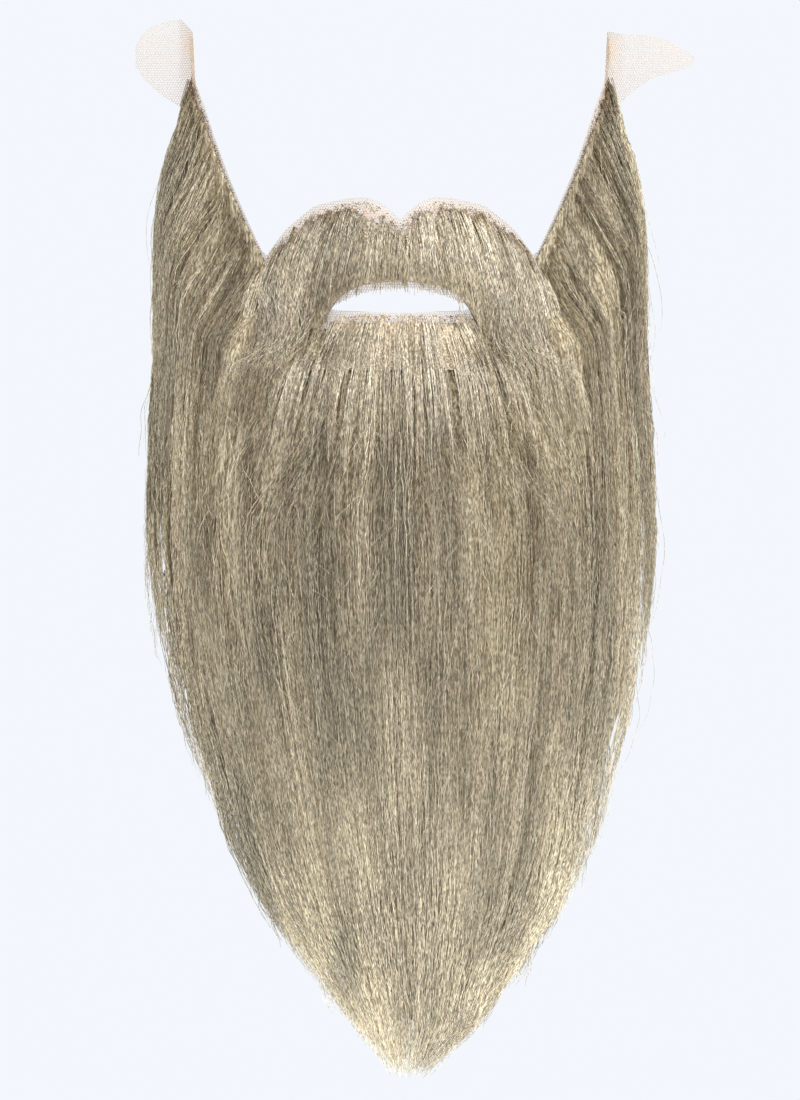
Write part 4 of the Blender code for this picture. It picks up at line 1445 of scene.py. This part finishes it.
@dataclass
class Sideburn(HairPart):
    """The hair of one cheek, from the ear down past the jaw."""

    side: Side = Side.LEFT
    guides: int = 190
    under_guides: int = 80
    inner_guides: int = 60
    overlaid: Overlay = Overlay(270, (56, 96), (-140, 35))
    front: float = 44.2
    rear_edge: float = 97.5
    rear_share: float = 0.2
    tips: tuple = (-153, -118)
    length: tuple = (65, 105)
    settling: tuple = (6, 12)
    bend: float = 5.0
    deep: float = 6.0
    mass_angles: tuple = (45.2, 48, 51.5, 56, 61.5, 66, 70, 74.5, 79, 83.5, 88, 94.5)
    mass_bottom: tuple = (-146.0, -104.0)
    flow: Table = Table(
        "root turn",
        ((44, 5), (48, 6.5), (52, 8), (57, 11), (62, 11), (71, 12), (80, 9), (90, 3), (98, 0)),
    )
    jaw: Table = Table("angle z", ((44, -46), (60, -36), (70, -26), (79, -4), (88, 16), (98, 52)))
    style: StrandStyle = StrandStyle(
        5, 19, 2.2, 0.7, radius=0.145, root_spread=0.8, tip_gather=0.9, crimp=0.28,
        crimp_length=13.0, frizz=1.1, frizz_scale=80.0, shortest=0.75,
    )
    under_style: StrandStyle = StrandStyle(
        5, 10, 2.6, 0.8, radius=0.17, root_spread=0.8, tip_gather=0.9, crimp=0.3, crimp_length=24.0,
        frizz=1.0, frizz_scale=50.0, shortest=0.75,
    )

    def build(self) -> None:
        """Builds the mass and its strands."""
        sign, hair = self.side.value, self.shop.hair
        profiles = []
        for angle in self.mass_angles:
            share = (angle - 45) / 50

            def angle_at(z: float, share: float = share) -> float:
                """The angle of this profile at a height."""
                return sign * float(mix(self.shop.hair.seam.read("angle", z) - 4, 95.0, share))

            top = float(self.shop.face.hairline.read("z", angle)) - 5
            bottom = float(mix(*self.mass_bottom, share))
            profiles.append(self.hanging_profile(angle_at, top, bottom, hair.cheek, 3.2))
        self.mass(f"{self.node}_mass", profiles)
        guides = self.lines(self.guides, -0.4, 1.2)
        # Painted light: the right side, and the right sideburn towards its top, are paler where the
        # lamps leave them in shade; the right sideburn is also darker lower down.
        tone = self.shop.rng.normal(0.46 + 0.06 * sign, 0.17, len(guides))
        if self.side is Side.RIGHT:
            tone += mix(-0.3, 0.5, smooth((guides[:, 4, 2] + 10) / 60))
        self.comb(f"{self.node}_hair", guides, tone, self.style)
        under = self.lines(self.under_guides, 1.0, 3.2)
        guides = np.concatenate((under, self.rear(self.inner_guides)))
        self.comb(f"{self.node}_under_hair", guides, UNDER_TONE, self.under_style)
        self.lay_over(hair.cheek, self.overlaid, sign)

    def stream(self, start: tuple, end: tuple, first: np.ndarray, bend: float) -> tuple:
        """The angles and heights of lines that follow streams of hair.

        Args:
            start: Angles and heights where the streams begin.
            end: Angles and heights where they end.
            first: The share of its stream at which each line starts.
            bend: How early the angle changes: 0 evenly, more sooner.

        Returns:
            Arrays of angles and of heights, by line and by station.
        """
        share = self.shares(first)
        turn = 1 - (1 - share) ** (1 + bend)
        angle = start[0][:, None] + (end[0] - start[0])[:, None] * turn
        return angle, start[1][:, None] + (end[1] - start[1])[:, None] * share

    def shorten(self, share: np.ndarray, *values: np.ndarray) -> list[np.ndarray]:
        """Spreads the stations again over the first share of each line.

        Args:
            share: The share of each line that stays.
            values: Arrays by line and by station.

        Returns:
            The arrays for the shorter lines.
        """
        places = share[:, None] * np.linspace(0, 1, self.stations)[None, :] * (self.stations - 1)
        low = np.minimum(places.astype(int), self.stations - 2)
        part = places - low
        return [
            np.take_along_axis(v, low, 1) * (1 - part) + np.take_along_axis(v, low + 1, 1) * part
            for v in values
        ]

    def lines(self, count: int, least: float, most: float) -> np.ndarray:
        """Guides on the outside of this cheek.

        Args:
            count: How many guides.
            least: The least depth under the outside of the hair.
            most: The greatest depth.

        Returns:
            The guides' points.
        """
        rng, face, hair, sign = self.shop.rng, self.shop.face, self.shop.hair, self.side.value
        begin = rng.uniform(self.front, self.rear_edge, count)
        rear = rng.random(count) < self.rear_share
        begin = np.where(rear, rng.uniform(80, self.rear_edge, count), begin)
        line = face.hairline.read("z", begin) - 0.4 + 3.0 * rng.random(count) ** 4
        turn = self.flow.read("turn", begin) + rng.normal(0, 1.5, count)
        tip = np.minimum(begin + turn, self.rear_edge)
        tip_z = rng.uniform(*self.tips, count)
        high = rng.random(count) < 0.34
        first = np.where(high, rng.random(count) * 0.03, rng.random(count) * 0.68)
        angle, heights = self.stream((begin, line), (tip, tip_z), first, self.bend)
        length = rng.uniform(*self.length, count) / np.maximum(heights[:, 0] - heights[:, -1], 1)
        angle, heights = self.shorten(np.minimum(length, 1.0), angle, heights)
        layer = hair.cheek(sign * angle, heights, rng.uniform(least, most, count)[:, None])
        jaw = self.jaw.read("z", angle[:, 0])
        roots = face.roots(sign * angle[:, 0], np.maximum(heights[:, 0], jaw))
        deep = hair.cheek(sign * angle[:, :1], heights[:, :1], self.deep)[:, 0]
        roots = np.where((heights[:, 0] > jaw)[:, None], roots, deep)
        return emerge(roots, layer, rng.uniform(*self.settling, count))

    def rear(self, count: int) -> np.ndarray:
        """The guides at the ear and on the inner side, below the edge of the lace."""
        rng, face, hair, sign = self.shop.rng, self.shop.face, self.shop.hair, self.side.value
        root = rng.uniform(60, 97, count)
        z = self.jaw.read("z", root) + rng.uniform(-4, 4, count)
        tip_z = np.maximum(z - rng.uniform(60, 110, count), -150)
        tip = np.minimum(root + rng.uniform(0, 4, count), 97)
        angle, heights = self.stream((root, z), (tip, tip_z), np.zeros(count), 0.5)
        through = rng.random(count)[:, None]
        through = np.where(rng.random(count)[:, None] < 0.5, 1.0, through)
        share = np.where(angle > 90, through, 1.0)
        outer = hair.cheek(sign * angle, heights, 1.0)
        layer = mix(outer, hair.inside(sign * angle, heights), share)
        return emerge(face.roots(sign * root, z), layer, rng.uniform(25, 45, count))


@dataclass
class ChinBeard(HairPart):
    """The long pointed beard that hangs from the chin and the jaw."""

    front: Table = Table("angle z", ((0, -35.5), (19.5, -35.5), (22, -24.5), (45, -23.5)))
    bottom: Table = Table(
        "share z",
        (
            (0, -272), (0.3, -264), (0.5, -249), (0.7, -228), (0.84, -196), (0.93, -168),
            (1.0, -139), (1.07, -108),
        ),
    )
    top_guides: int = 520
    under_guides: int = 280
    inner: int = 150
    wisps: int = 80
    flyaways: int = 60
    overlaid: Overlay = Overlay(950, (-62, 62), (-262, -40))
    mass_reach: float = 1.07
    rooted_above: float = -58.0
    lowest: float = -291.0
    narrows_below: float = -102.0
    net_edge: float = 44.0
    deep: float = 6.0
    dark_x: float = 37.0
    loose_axis_y: float = 75.0
    style: StrandStyle = StrandStyle(
        4, 20, 2.4, 0.8, radius=0.15, root_spread=0.9, tip_gather=0.9, crimp=0.3, crimp_length=11.0,
        frizz=1.1, frizz_scale=70.0, shortest=0.72,
    )
    under_style: StrandStyle = StrandStyle(
        5, 10, 3.0, 0.9, radius=0.18, root_spread=0.9, tip_gather=0.9, crimp=0.4, crimp_length=27.0,
        frizz=1.5, frizz_scale=40.0, shortest=0.72,
    )
    wisp_style: StrandStyle = StrandStyle(
        5, 13, 2.6, 1.2, radius=0.11, taper=0.6, root_spread=0.8, tip_gather=1.4, crimp=0.4,
        crimp_length=14.0, frizz=3.6, frizz_scale=45.0, crossing=1.0, shortest=0.5,
    )
    flyaway_style: StrandStyle = StrandStyle(
        1, 20, 1.0, 1.0, radius=0.1, taper=0.5, root_spread=1.0, tip_gather=1.0, crimp=0.3,
        crimp_length=18.0, frizz=3.6, frizz_scale=28.0, shortest=0.6,
    )

    def build(self) -> None:
        """Builds the mass and its strands."""
        hair = self.shop.hair
        profiles = []
        for share in np.linspace(-self.mass_reach, self.mass_reach, 31):

            def angle_at(z: float, share: float = share) -> float:
                """The angle of this profile at a height."""
                return float(share * hair.seam.read("angle", z))

            top = float(self.front.read("z", abs(share) * 45)) - 2.5
            bottom = float(self.bottom.read("z", abs(share)))
            profiles.append(self.hanging_profile(angle_at, top, bottom, hair.chin, 3.6))
        self.mass("chin_beard_mass", profiles)
        guides = self.face_lines(self.top_guides, -0.5, 1.3)
        tone = self.tones(guides)
        order = np.argsort(guides[:, 5, 0])
        for name, mine in zip(("left", "middle", "right"), np.array_split(order, 3)):
            self.comb(f"chin_beard_{name}_hair", guides[mine], tone[mine], self.style)
        guides = self.face_lines(self.under_guides, 1.2, 3.6)
        self.comb("chin_beard_under_hair", guides, UNDER_TONE, self.under_style)
        self.comb("chin_beard_inner_hair", self.inner_lines(), INNER_TONE, self.under_style)
        self.comb("chin_beard_wisps", self.wisp_lines(), WISP_TONE, self.wisp_style)
        self.lay_over(hair.chin, self.overlaid)
        self.comb("chin_beard_flyaways", self.flyaway_lines(), LOOSE_TONE, self.flyaway_style)

    def tones(self, guides: np.ndarray) -> np.ndarray:
        """How pale the front guides are: darker in a band on the right, and paler at the sides as
        painted light where the sides fall in shade.
        """
        x = guides[:, 5, 0]
        tone = self.shop.rng.normal(0.44, 0.15, len(guides))
        tone -= 0.5 * np.exp(-(((x - self.dark_x) / 19) ** 2)) * (guides[:, 0, 2] > -180)
        # Painted light: the sides are paler where the lamps leave them in shade.
        return tone + 0.16 * smooth((np.abs(x) - 50) / 20)

    def falling(
        self,
        share: np.ndarray,
        z: np.ndarray,
        length: np.ndarray,
        keep: np.ndarray,
        most: np.ndarray,
    ) -> tuple[np.ndarray, np.ndarray, np.ndarray]:
        """Lines that fall with the outline and end where they pass it.

        Args:
            share: Where the lines start, from -1 to 1 across the beard.
            z: Their starting heights.
            length: How far they fall at most.
            keep: How much they follow the outline as it narrows, from 0 to 1.
            most: The share across at which they end.

        Returns:
            Angles, heights, and how far past the outline each point lies, in millimetres.
        """
        rows = sorted(self.shop.hair.section.rows)
        heights = np.array([row[0] for row in rows])
        widths = np.array([row[1] for row in rows])
        narrowing = heights <= self.narrows_below
        start_width = np.interp(z, heights, widths)
        ratio = np.clip(np.abs(share) / most, 1e-6, 1)
        end_width = start_width * ratio ** (1 / (1 - keep))
        end = np.interp(end_width, widths[narrowing], heights[narrowing])
        end = np.maximum(np.maximum(np.minimum(end, z - 18), z - length), self.lowest)
        steps = np.linspace(0, 1, self.stations)[None, :]
        along = z[:, None] + (end - z)[:, None] * steps
        width = np.interp(along, heights, widths)
        x = share[:, None] * start_width[:, None] ** (1 - keep[:, None]) * width ** keep[:, None]
        across = x / width
        inside = np.clip(across, -0.998, 0.998)
        return np.degrees(np.arcsin(inside)), along, (across - inside) * width

    def face_lines(self, count: int, least: float, most: float) -> np.ndarray:
        """Guides on the outside of the beard, from the lip to the tip.

        Args:
            count: How many guides.
            least: The least depth under the outside of the hair.
            most: The greatest depth.

        Returns:
            The guides' points.
        """
        rng, face, hair = self.shop.rng, self.shop.face, self.shop.hair
        height = rng.random(count)
        z = -24 - 222 * height**0.92
        z = np.where(rng.random(count) < 0.13, rng.uniform(-256, -200, count), z)
        rooted = z > self.rooted_above
        angle = rng.uniform(-self.net_edge, self.net_edge, count)
        high = np.maximum(self.front.read("z", np.abs(angle)), -27.0) - 0.5
        z = np.where(rooted, np.minimum(z, high - rng.random(count) * 5), z)
        width = np.sin(np.radians(np.minimum(self.shop.hair.seam.read("angle", z) + 16, 90)))
        across = rng.uniform(-1, 1, count)
        edge = rng.random(count) < 0.22
        across = np.where(edge, np.sign(across) * rng.uniform(0.84, 1.0, count), across)
        share = np.where(rooted, np.sin(np.radians(angle * 1.08)), across * width)
        keep = rng.uniform(0.6, 0.93, count)
        length = rng.uniform(75, 120, count)
        turn = angle
        angle, heights, past = self.falling(share, z, length, keep, rng.uniform(0.98, 1.04, count))
        wanted = hair.outside(angle, heights)[..., 0]
        shift = np.where(rooted, face.plan(turn, z)[:, 0] - wanted[:, 0], 0)
        wanted = wanted + shift[:, None] * (1 - smooth((z[:, None] - heights) / 55.0))
        angle = np.where(rooted[:, None], hair.turned(hair.chin, wanted, heights), angle)
        layer = hair.chin(angle, heights, rng.uniform(least, most, count)[:, None])
        layer[..., 0] += past
        deep = hair.chin(angle[:, :1], heights[:, :1], self.deep)[:, 0]
        near = np.clip(angle[:, 0], -self.net_edge, self.net_edge)
        on_net = face.roots(near, np.maximum(z, self.rooted_above))
        roots = np.where(rooted[:, None], on_net, deep)
        return emerge(roots, layer, rng.uniform(12, 20, count))

    def inner_lines(self) -> np.ndarray:
        """The guides on the inner side, from under the jaw to the tip."""
        rng, face, hair = self.shop.rng, self.shop.face, self.shop.hair
        count = self.inner
        start = -62 - rng.random(count) * 150
        width = np.sin(np.radians(np.minimum(self.shop.hair.seam.read("angle", start) + 5, 90)))
        share = rng.uniform(-1, 1, count) * width
        angle, heights, _ = self.falling(
            share, start, rng.uniform(70, 130, count), rng.uniform(0.7, 0.95, count),
            rng.uniform(0.94, 1.02, count),
        )
        layer = hair.inside(angle, heights, (rng.random(count) * 2 - 0.4)[:, None])
        turn = np.clip(angle[:, 0], -76, 76)
        edge = np.array([face.on_lace(a, 1e3, 1.4)[0] for a in turn])
        near = start > -75
        deep = hair.inside(angle[:, :1], heights[:, :1], 5.0)[:, 0]
        roots = np.where(near[:, None], np.stack((edge[:, 0], edge[:, 1], start), axis=-1), deep)
        return emerge(roots, layer, rng.uniform(25, 40, count))

    def wisp_lines(self) -> np.ndarray:
        """The thin ends along the lower outline and at the tip."""
        rng, hair = self.shop.rng, self.shop.hair
        count = self.wisps
        z = -140 - rng.random(count) ** 0.8 * 125
        share = np.sign(rng.uniform(-1, 1, count)) * rng.uniform(0.1, 1.0, count)
        angle, heights, past = self.falling(
            share, z, rng.uniform(40, 80, count), rng.uniform(0.4, 0.85, count),
            rng.uniform(1.02, 1.14, count),
        )
        through = rng.random(count)[:, None] * np.ones_like(angle)
        layer = mix(hair.outside(angle, heights), hair.inside(angle, heights), through)
        layer[..., 0] += past
        return layer

    def flyaway_lines(self) -> np.ndarray:
        """Single hairs that stray over the front, and out from the sides."""
        rng, hair = self.shop.rng, self.shop.hair
        count = self.flyaways
        side = np.sign(rng.uniform(-1, 1, count))
        edge = rng.random(count) < 0.5
        angle = np.where(edge, side * rng.uniform(72, 94, count), rng.uniform(-70, 70, count))
        z = np.where(edge, rng.uniform(-150, 60, count), rng.uniform(-230, -40, count))
        fall = rng.uniform(30, 70, count)
        fall = np.where(z - fall < -285, z + 285, fall)
        drift = rng.normal(0, 8, count)
        share = np.linspace(0, 1, self.stations)[None, :]
        heights = z[:, None] - fall[:, None] * share
        turn = np.clip(angle[:, None] + drift[:, None] * share, -95, 95)
        lift = (rng.uniform(1.5, 5.5, count)[:, None]) * np.sin(np.pi * share * 0.8) ** 1.5
        lift = np.where(edge[:, None], lift * 1.2, lift * 0.35)
        cheek = hair.cheek(turn, heights, 0.0)
        chin = hair.chin(turn, heights, 0.0)
        layer = np.where(((np.abs(turn) > 50) & (heights > -60))[..., None], cheek, chin)
        out = layer - np.array((0.0, self.loose_axis_y, 0.0))
        out[..., 2] = 0
        return layer + unit(out) * (lift - 1.0)[..., None]


@dataclass
class LaceBase:
    """The net that carries the hair, with its knots."""

    shop: Workshop
    finish: NetFinish = NetFinish()
    knot_finish: KnotFinish = KnotFinish()
    columns: int = 101
    rows: int = 34
    wall: float = 0.9
    thickness: float = 0.16
    knots: int = 2000
    knot_radius: float = 0.2
    knot_fall: float = 2.8
    knot_lowest: float = 24.0
    lip_share: float = 0.14
    lip_z: float = -22.6
    widest: float = 98.0
    tab_y: float = 112.0
    tab_columns: int = 12
    tab_depth: float = -9.0
    flat_size: tuple = (0.3, 0.16)
    right_tab: Table = Table(
        "x low high",
        (
            (82.0, 60.5, 85.0), (87.5, 65.0, 84.7), (93.0, 68.7, 84.2), (99.0, 70.5, 82.5),
            (104.5, 72.0, 79.3), (108.5, 74.2, 77.0),
        ),
    )
    left_tab: Table = Table(
        "x low high",
        (
            (81.0, 58.0, 90.5), (86.0, 61.0, 89.5), (91.0, 65.0, 88.0), (95.0, 69.0, 85.0),
            (97.5, 73.0, 80.5),
        ),
    )
    mouth_half_width: float = 26.0
    mouth_top: float = -13.0
    mouth_corner: float = -20.0
    mouth_bottom: float = -21.5

    def build(self) -> None:
        net = self.net()
        knots = self.tie()
        for piece in (net, knots):
            dress(piece, "lace_base", Slot.LACE)

    def grid(self) -> np.ndarray:
        """The net's points by column, from the left tab to the right one."""
        columns = []
        for angle in np.linspace(-self.widest, self.widest, self.columns):
            down = np.linspace(0, self.shop.face.route(angle)[1][-1], self.rows)
            columns.append(self.shop.face.on_lace(angle, down, self.wall / 2))
        for table, sign in ((self.left_tab, -1), (self.right_tab, 1)):
            tab = []
            for x in np.linspace(table.rows[0][0], table.rows[-1][0], self.tab_columns):
                heights = np.linspace(table.read("high", x), table.read("low", x), self.rows)
                tab.append(np.array([(sign * x, self.tab_y, z) for z in heights]))
            columns = tab[::-1] + columns if sign < 0 else columns + tab
        return np.array(columns)

    def net(self) -> bpy.types.Object:
        """The net as a thin sheet with the mouth cut out of it."""
        grid = self.grid()
        faces = []
        for c in range(len(grid) - 1):
            for r in range(self.rows - 1):
                a = c * self.rows + r
                faces.append((a, a + 1, a + self.rows + 1, a + self.rows))
        net = new_piece("lace_net", grid.reshape(-1, 3), [], faces)
        mesh = net.data
        if min(mesh.polygons, key=lambda face: face.center.y).normal.y > 0:
            mesh.flip_normals()
        self.lay_flat(mesh, grid)
        mesh.materials.append(self.finish.material(self.shop.hex_net))
        mesh.shade_smooth()
        thick = net.modifiers.new("thread_thickness", "SOLIDIFY")
        thick.thickness = self.thickness * MM
        thick.offset = 0.0
        cutter = self.mouth_cutter()
        cut = net.modifiers.new("mouth", "BOOLEAN")
        cut.operation = "DIFFERENCE"
        cut.object = cutter
        settle(net)
        bpy.data.objects.remove(cutter, do_unlink=True)
        return net

    def lay_flat(self, mesh: bpy.types.Mesh, grid: np.ndarray) -> None:
        """Maps the net by its lengths across and down, and marks its fringe.

        Args:
            mesh: The net before it has a thickness.
            grid: Its points by column and by row.
        """
        across = run_length(grid[:, self.rows // 4])
        down = run_length(grid)
        fall = down - grid[:, :1, 2]
        flat = np.stack((np.broadcast_to(across[:, None], fall.shape), fall), axis=-1)
        flat = flat.reshape(-1, 2)
        corners = np.zeros(len(mesh.loops), int)
        mesh.loops.foreach_get("vertex_index", corners)
        place = flat[corners]
        span = flat.max(axis=0) - flat.min(axis=0)
        bake = (place - flat.min(axis=0)) / span * 0.98 + 0.01
        for name, values in (("OFBake", bake), ("net", place * MM)):
            mesh.uv_layers.new(name=name).data.foreach_set("uv", values.ravel())
        depth = down - self.shop.face.lace_margin
        depth[: self.tab_columns] = depth[-self.tab_columns :] = self.tab_depth
        rise = smooth((depth + 1.8) / 2.6)
        fringe = mesh.attributes.new("fringe", "FLOAT", "POINT")
        fringe.data.foreach_set("value", (rise * (1 - 0.75 * smooth((depth - 3) / 8))).ravel())

    def mouth_cutter(self) -> bpy.types.Object:
        """A bar with the outline of the mouth opening, which passes through the net."""
        across = np.linspace(-1, 1, 25)
        bow = 1 - across**2
        upper, lower = (
            list(zip(across, mix(self.mouth_corner, middle, bow)))
            for middle in (self.mouth_top, self.mouth_bottom)
        )
        outline = upper + lower[-2:0:-1]
        size = len(outline)
        points = [(x * self.mouth_half_width, y, z) for y in (-20, 40) for x, z in outline]
        faces = [(k, (k + 1) % size, size + (k + 1) % size, size + k) for k in range(size)]
        faces += [tuple(range(size))[::-1], tuple(range(size, 2 * size))]
        cutter = new_piece("mouth_cutter", np.array(points), [], faces)
        face_outwards(cutter.data)
        return cutter

    def tie(self) -> bpy.types.Object:
        """The knots, close along the hairline and scattered under the hair."""
        rng, face = self.shop.rng, self.shop.face
        angle = rng.uniform(-97, 97, self.knots)
        line = face.hairline.read("z", np.abs(angle))
        drop = rng.exponential(self.knot_fall, self.knots) - 1.8
        z = line - np.minimum(drop, self.knot_lowest)
        lip = rng.random(self.knots) < self.lip_share
        angle = np.where(lip, rng.uniform(-20, 20, self.knots), angle)
        z = np.where(lip, self.lip_z - rng.exponential(1.6, self.knots), z)
        points = face.roots(angle, z, self.wall / 2 + 0.12)
        piece = new_piece("lace_knots", points, [], [])
        tied = piece.modifiers.new("knots", "NODES")
        tied.node_group = self.shop.knots
        names = self.shop.knot_inputs
        tied[names["Radius"]] = self.knot_radius * MM
        tied[names["Seed"]] = SEED
        tied[names["Finish"]] = self.knot_finish.material()
        return settle(piece)


@dataclass
class Studio:
    """The pale floor, the soft lights and the camera."""

    floor_z: float = -0.45
    floor_radius: float = 1.2
    backdrop: tuple = rgb(243, 247, 253)
    distance: float = 2.5
    plane_y: float = 0.03
    view_height: float = 0.3927
    centre_z: float = -0.1053
    sensor: float = 36.0
    aim: tuple = (0.0, 0.03, -0.1)

    def build(self) -> None:
        """Builds the whole studio."""
        self.floor()
        self.lights()
        self.camera()

    def floor(self) -> None:
        """A plain pale disc well under the tip of the beard."""
        turns = np.radians(np.arange(0, 360, 5))
        ring = np.stack((np.cos(turns), np.sin(turns), np.zeros(len(turns))), axis=-1)
        points = ring * self.floor_radius / MM + np.array((0, 60, self.floor_z / MM))
        floor = new_piece("studio_floor", points, [], [tuple(range(len(turns)))])
        material, draw, shader = new_material("studio_floor")
        place = draw.place()
        cloud = draw.ramp(draw.noise(place, 3.0), 0.3, 0.7, 0.0, 1.0)
        tint = draw.blend(cloud, rgb(236, 240, 246), rgb(242, 245, 250))
        draw.tree.links.new(tint, shader.inputs["Base Color"])
        shader.inputs["Roughness"].default_value = 0.9
        floor.data.materials.append(material)
        floor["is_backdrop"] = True

    def lights(self) -> None:
        """A pale surrounding, a broad key light and three fills."""
        world = bpy.data.worlds.new("pale_surrounding")
        world.use_nodes = True
        world.node_tree.nodes["Background"].inputs["Color"].default_value = self.backdrop
        world.node_tree.nodes["Background"].inputs["Strength"].default_value = 1.0
        bpy.context.scene.world = world
        rows = (
            ("key", (0.2, -1.75, 0.55), 1.0, 19.0),
            ("fill", (-1.2, -1.4, -0.2), 1.0, 7.5),
            ("rim", (1.6, -0.7, 0.2), 0.9, 13.0),
            ("crown", (0.0, 0.2, 1.4), 0.8, 6.0),
        )
        for name, place, size, power in rows:
            light = bpy.data.lights.new(name, "AREA")
            light.shape = "SQUARE"
            light.size = size
            light.energy = power
            lamp = bpy.data.objects.new(name, light)
            lamp.location = place
            lamp.rotation_euler = direction(np.array(self.aim) - np.array(place))
            bpy.context.scene.collection.objects.link(lamp)

    def camera(self) -> None:
        """A level camera with a long lens, in front of the beard."""
        data = bpy.data.cameras.new("front_camera")
        data.sensor_fit = "VERTICAL"
        data.sensor_height = self.sensor
        data.lens = self.sensor * self.distance / self.view_height
        data.clip_end = 20.0
        camera = bpy.data.objects.new("front_camera", data)
        camera.location = (0.0, self.plane_y - self.distance, self.centre_z)
        camera.rotation_euler = (math.radians(90), 0, 0)
        bpy.context.scene.collection.objects.link(camera)
        bpy.context.scene.camera = camera
        bpy.context.scene.view_settings.view_transform = "Standard"


def direction(aim: np.ndarray) -> tuple[float, float, float]:
    """The turn that points a lamp along a line."""
    flat = math.hypot(aim[0], aim[1])
    return (math.atan2(flat, -aim[2]), 0.0, -math.atan2(aim[0], aim[1]))


def write_sizes() -> None:
    """Works out the CAD box and the dressed part's box."""
    boxes = [[[float(v) for v in corner] for corner in box] for box in (CAD_BOX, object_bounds())]


def main() -> None:
    """Builds every sub-assembly in order."""
    logging.basicConfig(level=logging.INFO, format="%(name)s: %(message)s")
    shop = Workshop()
    Studio().build()
    LaceBase(shop).build()
    for side in Side:
        node = f"moustache_{side.word}"
        Moustache(shop, node, Slot.MOUSTACHE, MOUSTACHE_HAIR, side=side).build()
    LipPatch(shop, "lip_patch", Slot.MOUSTACHE, LIP_HAIR).build()
    for side in Side:
        Sideburn(shop, f"sideburn_{side.word}", Slot.BEARD, BEARD_HAIR, side=side).build()
    ChinBeard(shop, "chin_beard", Slot.BEARD, BEARD_HAIR).build()
    write_sizes()


if __name__ == "__main__":
    main()
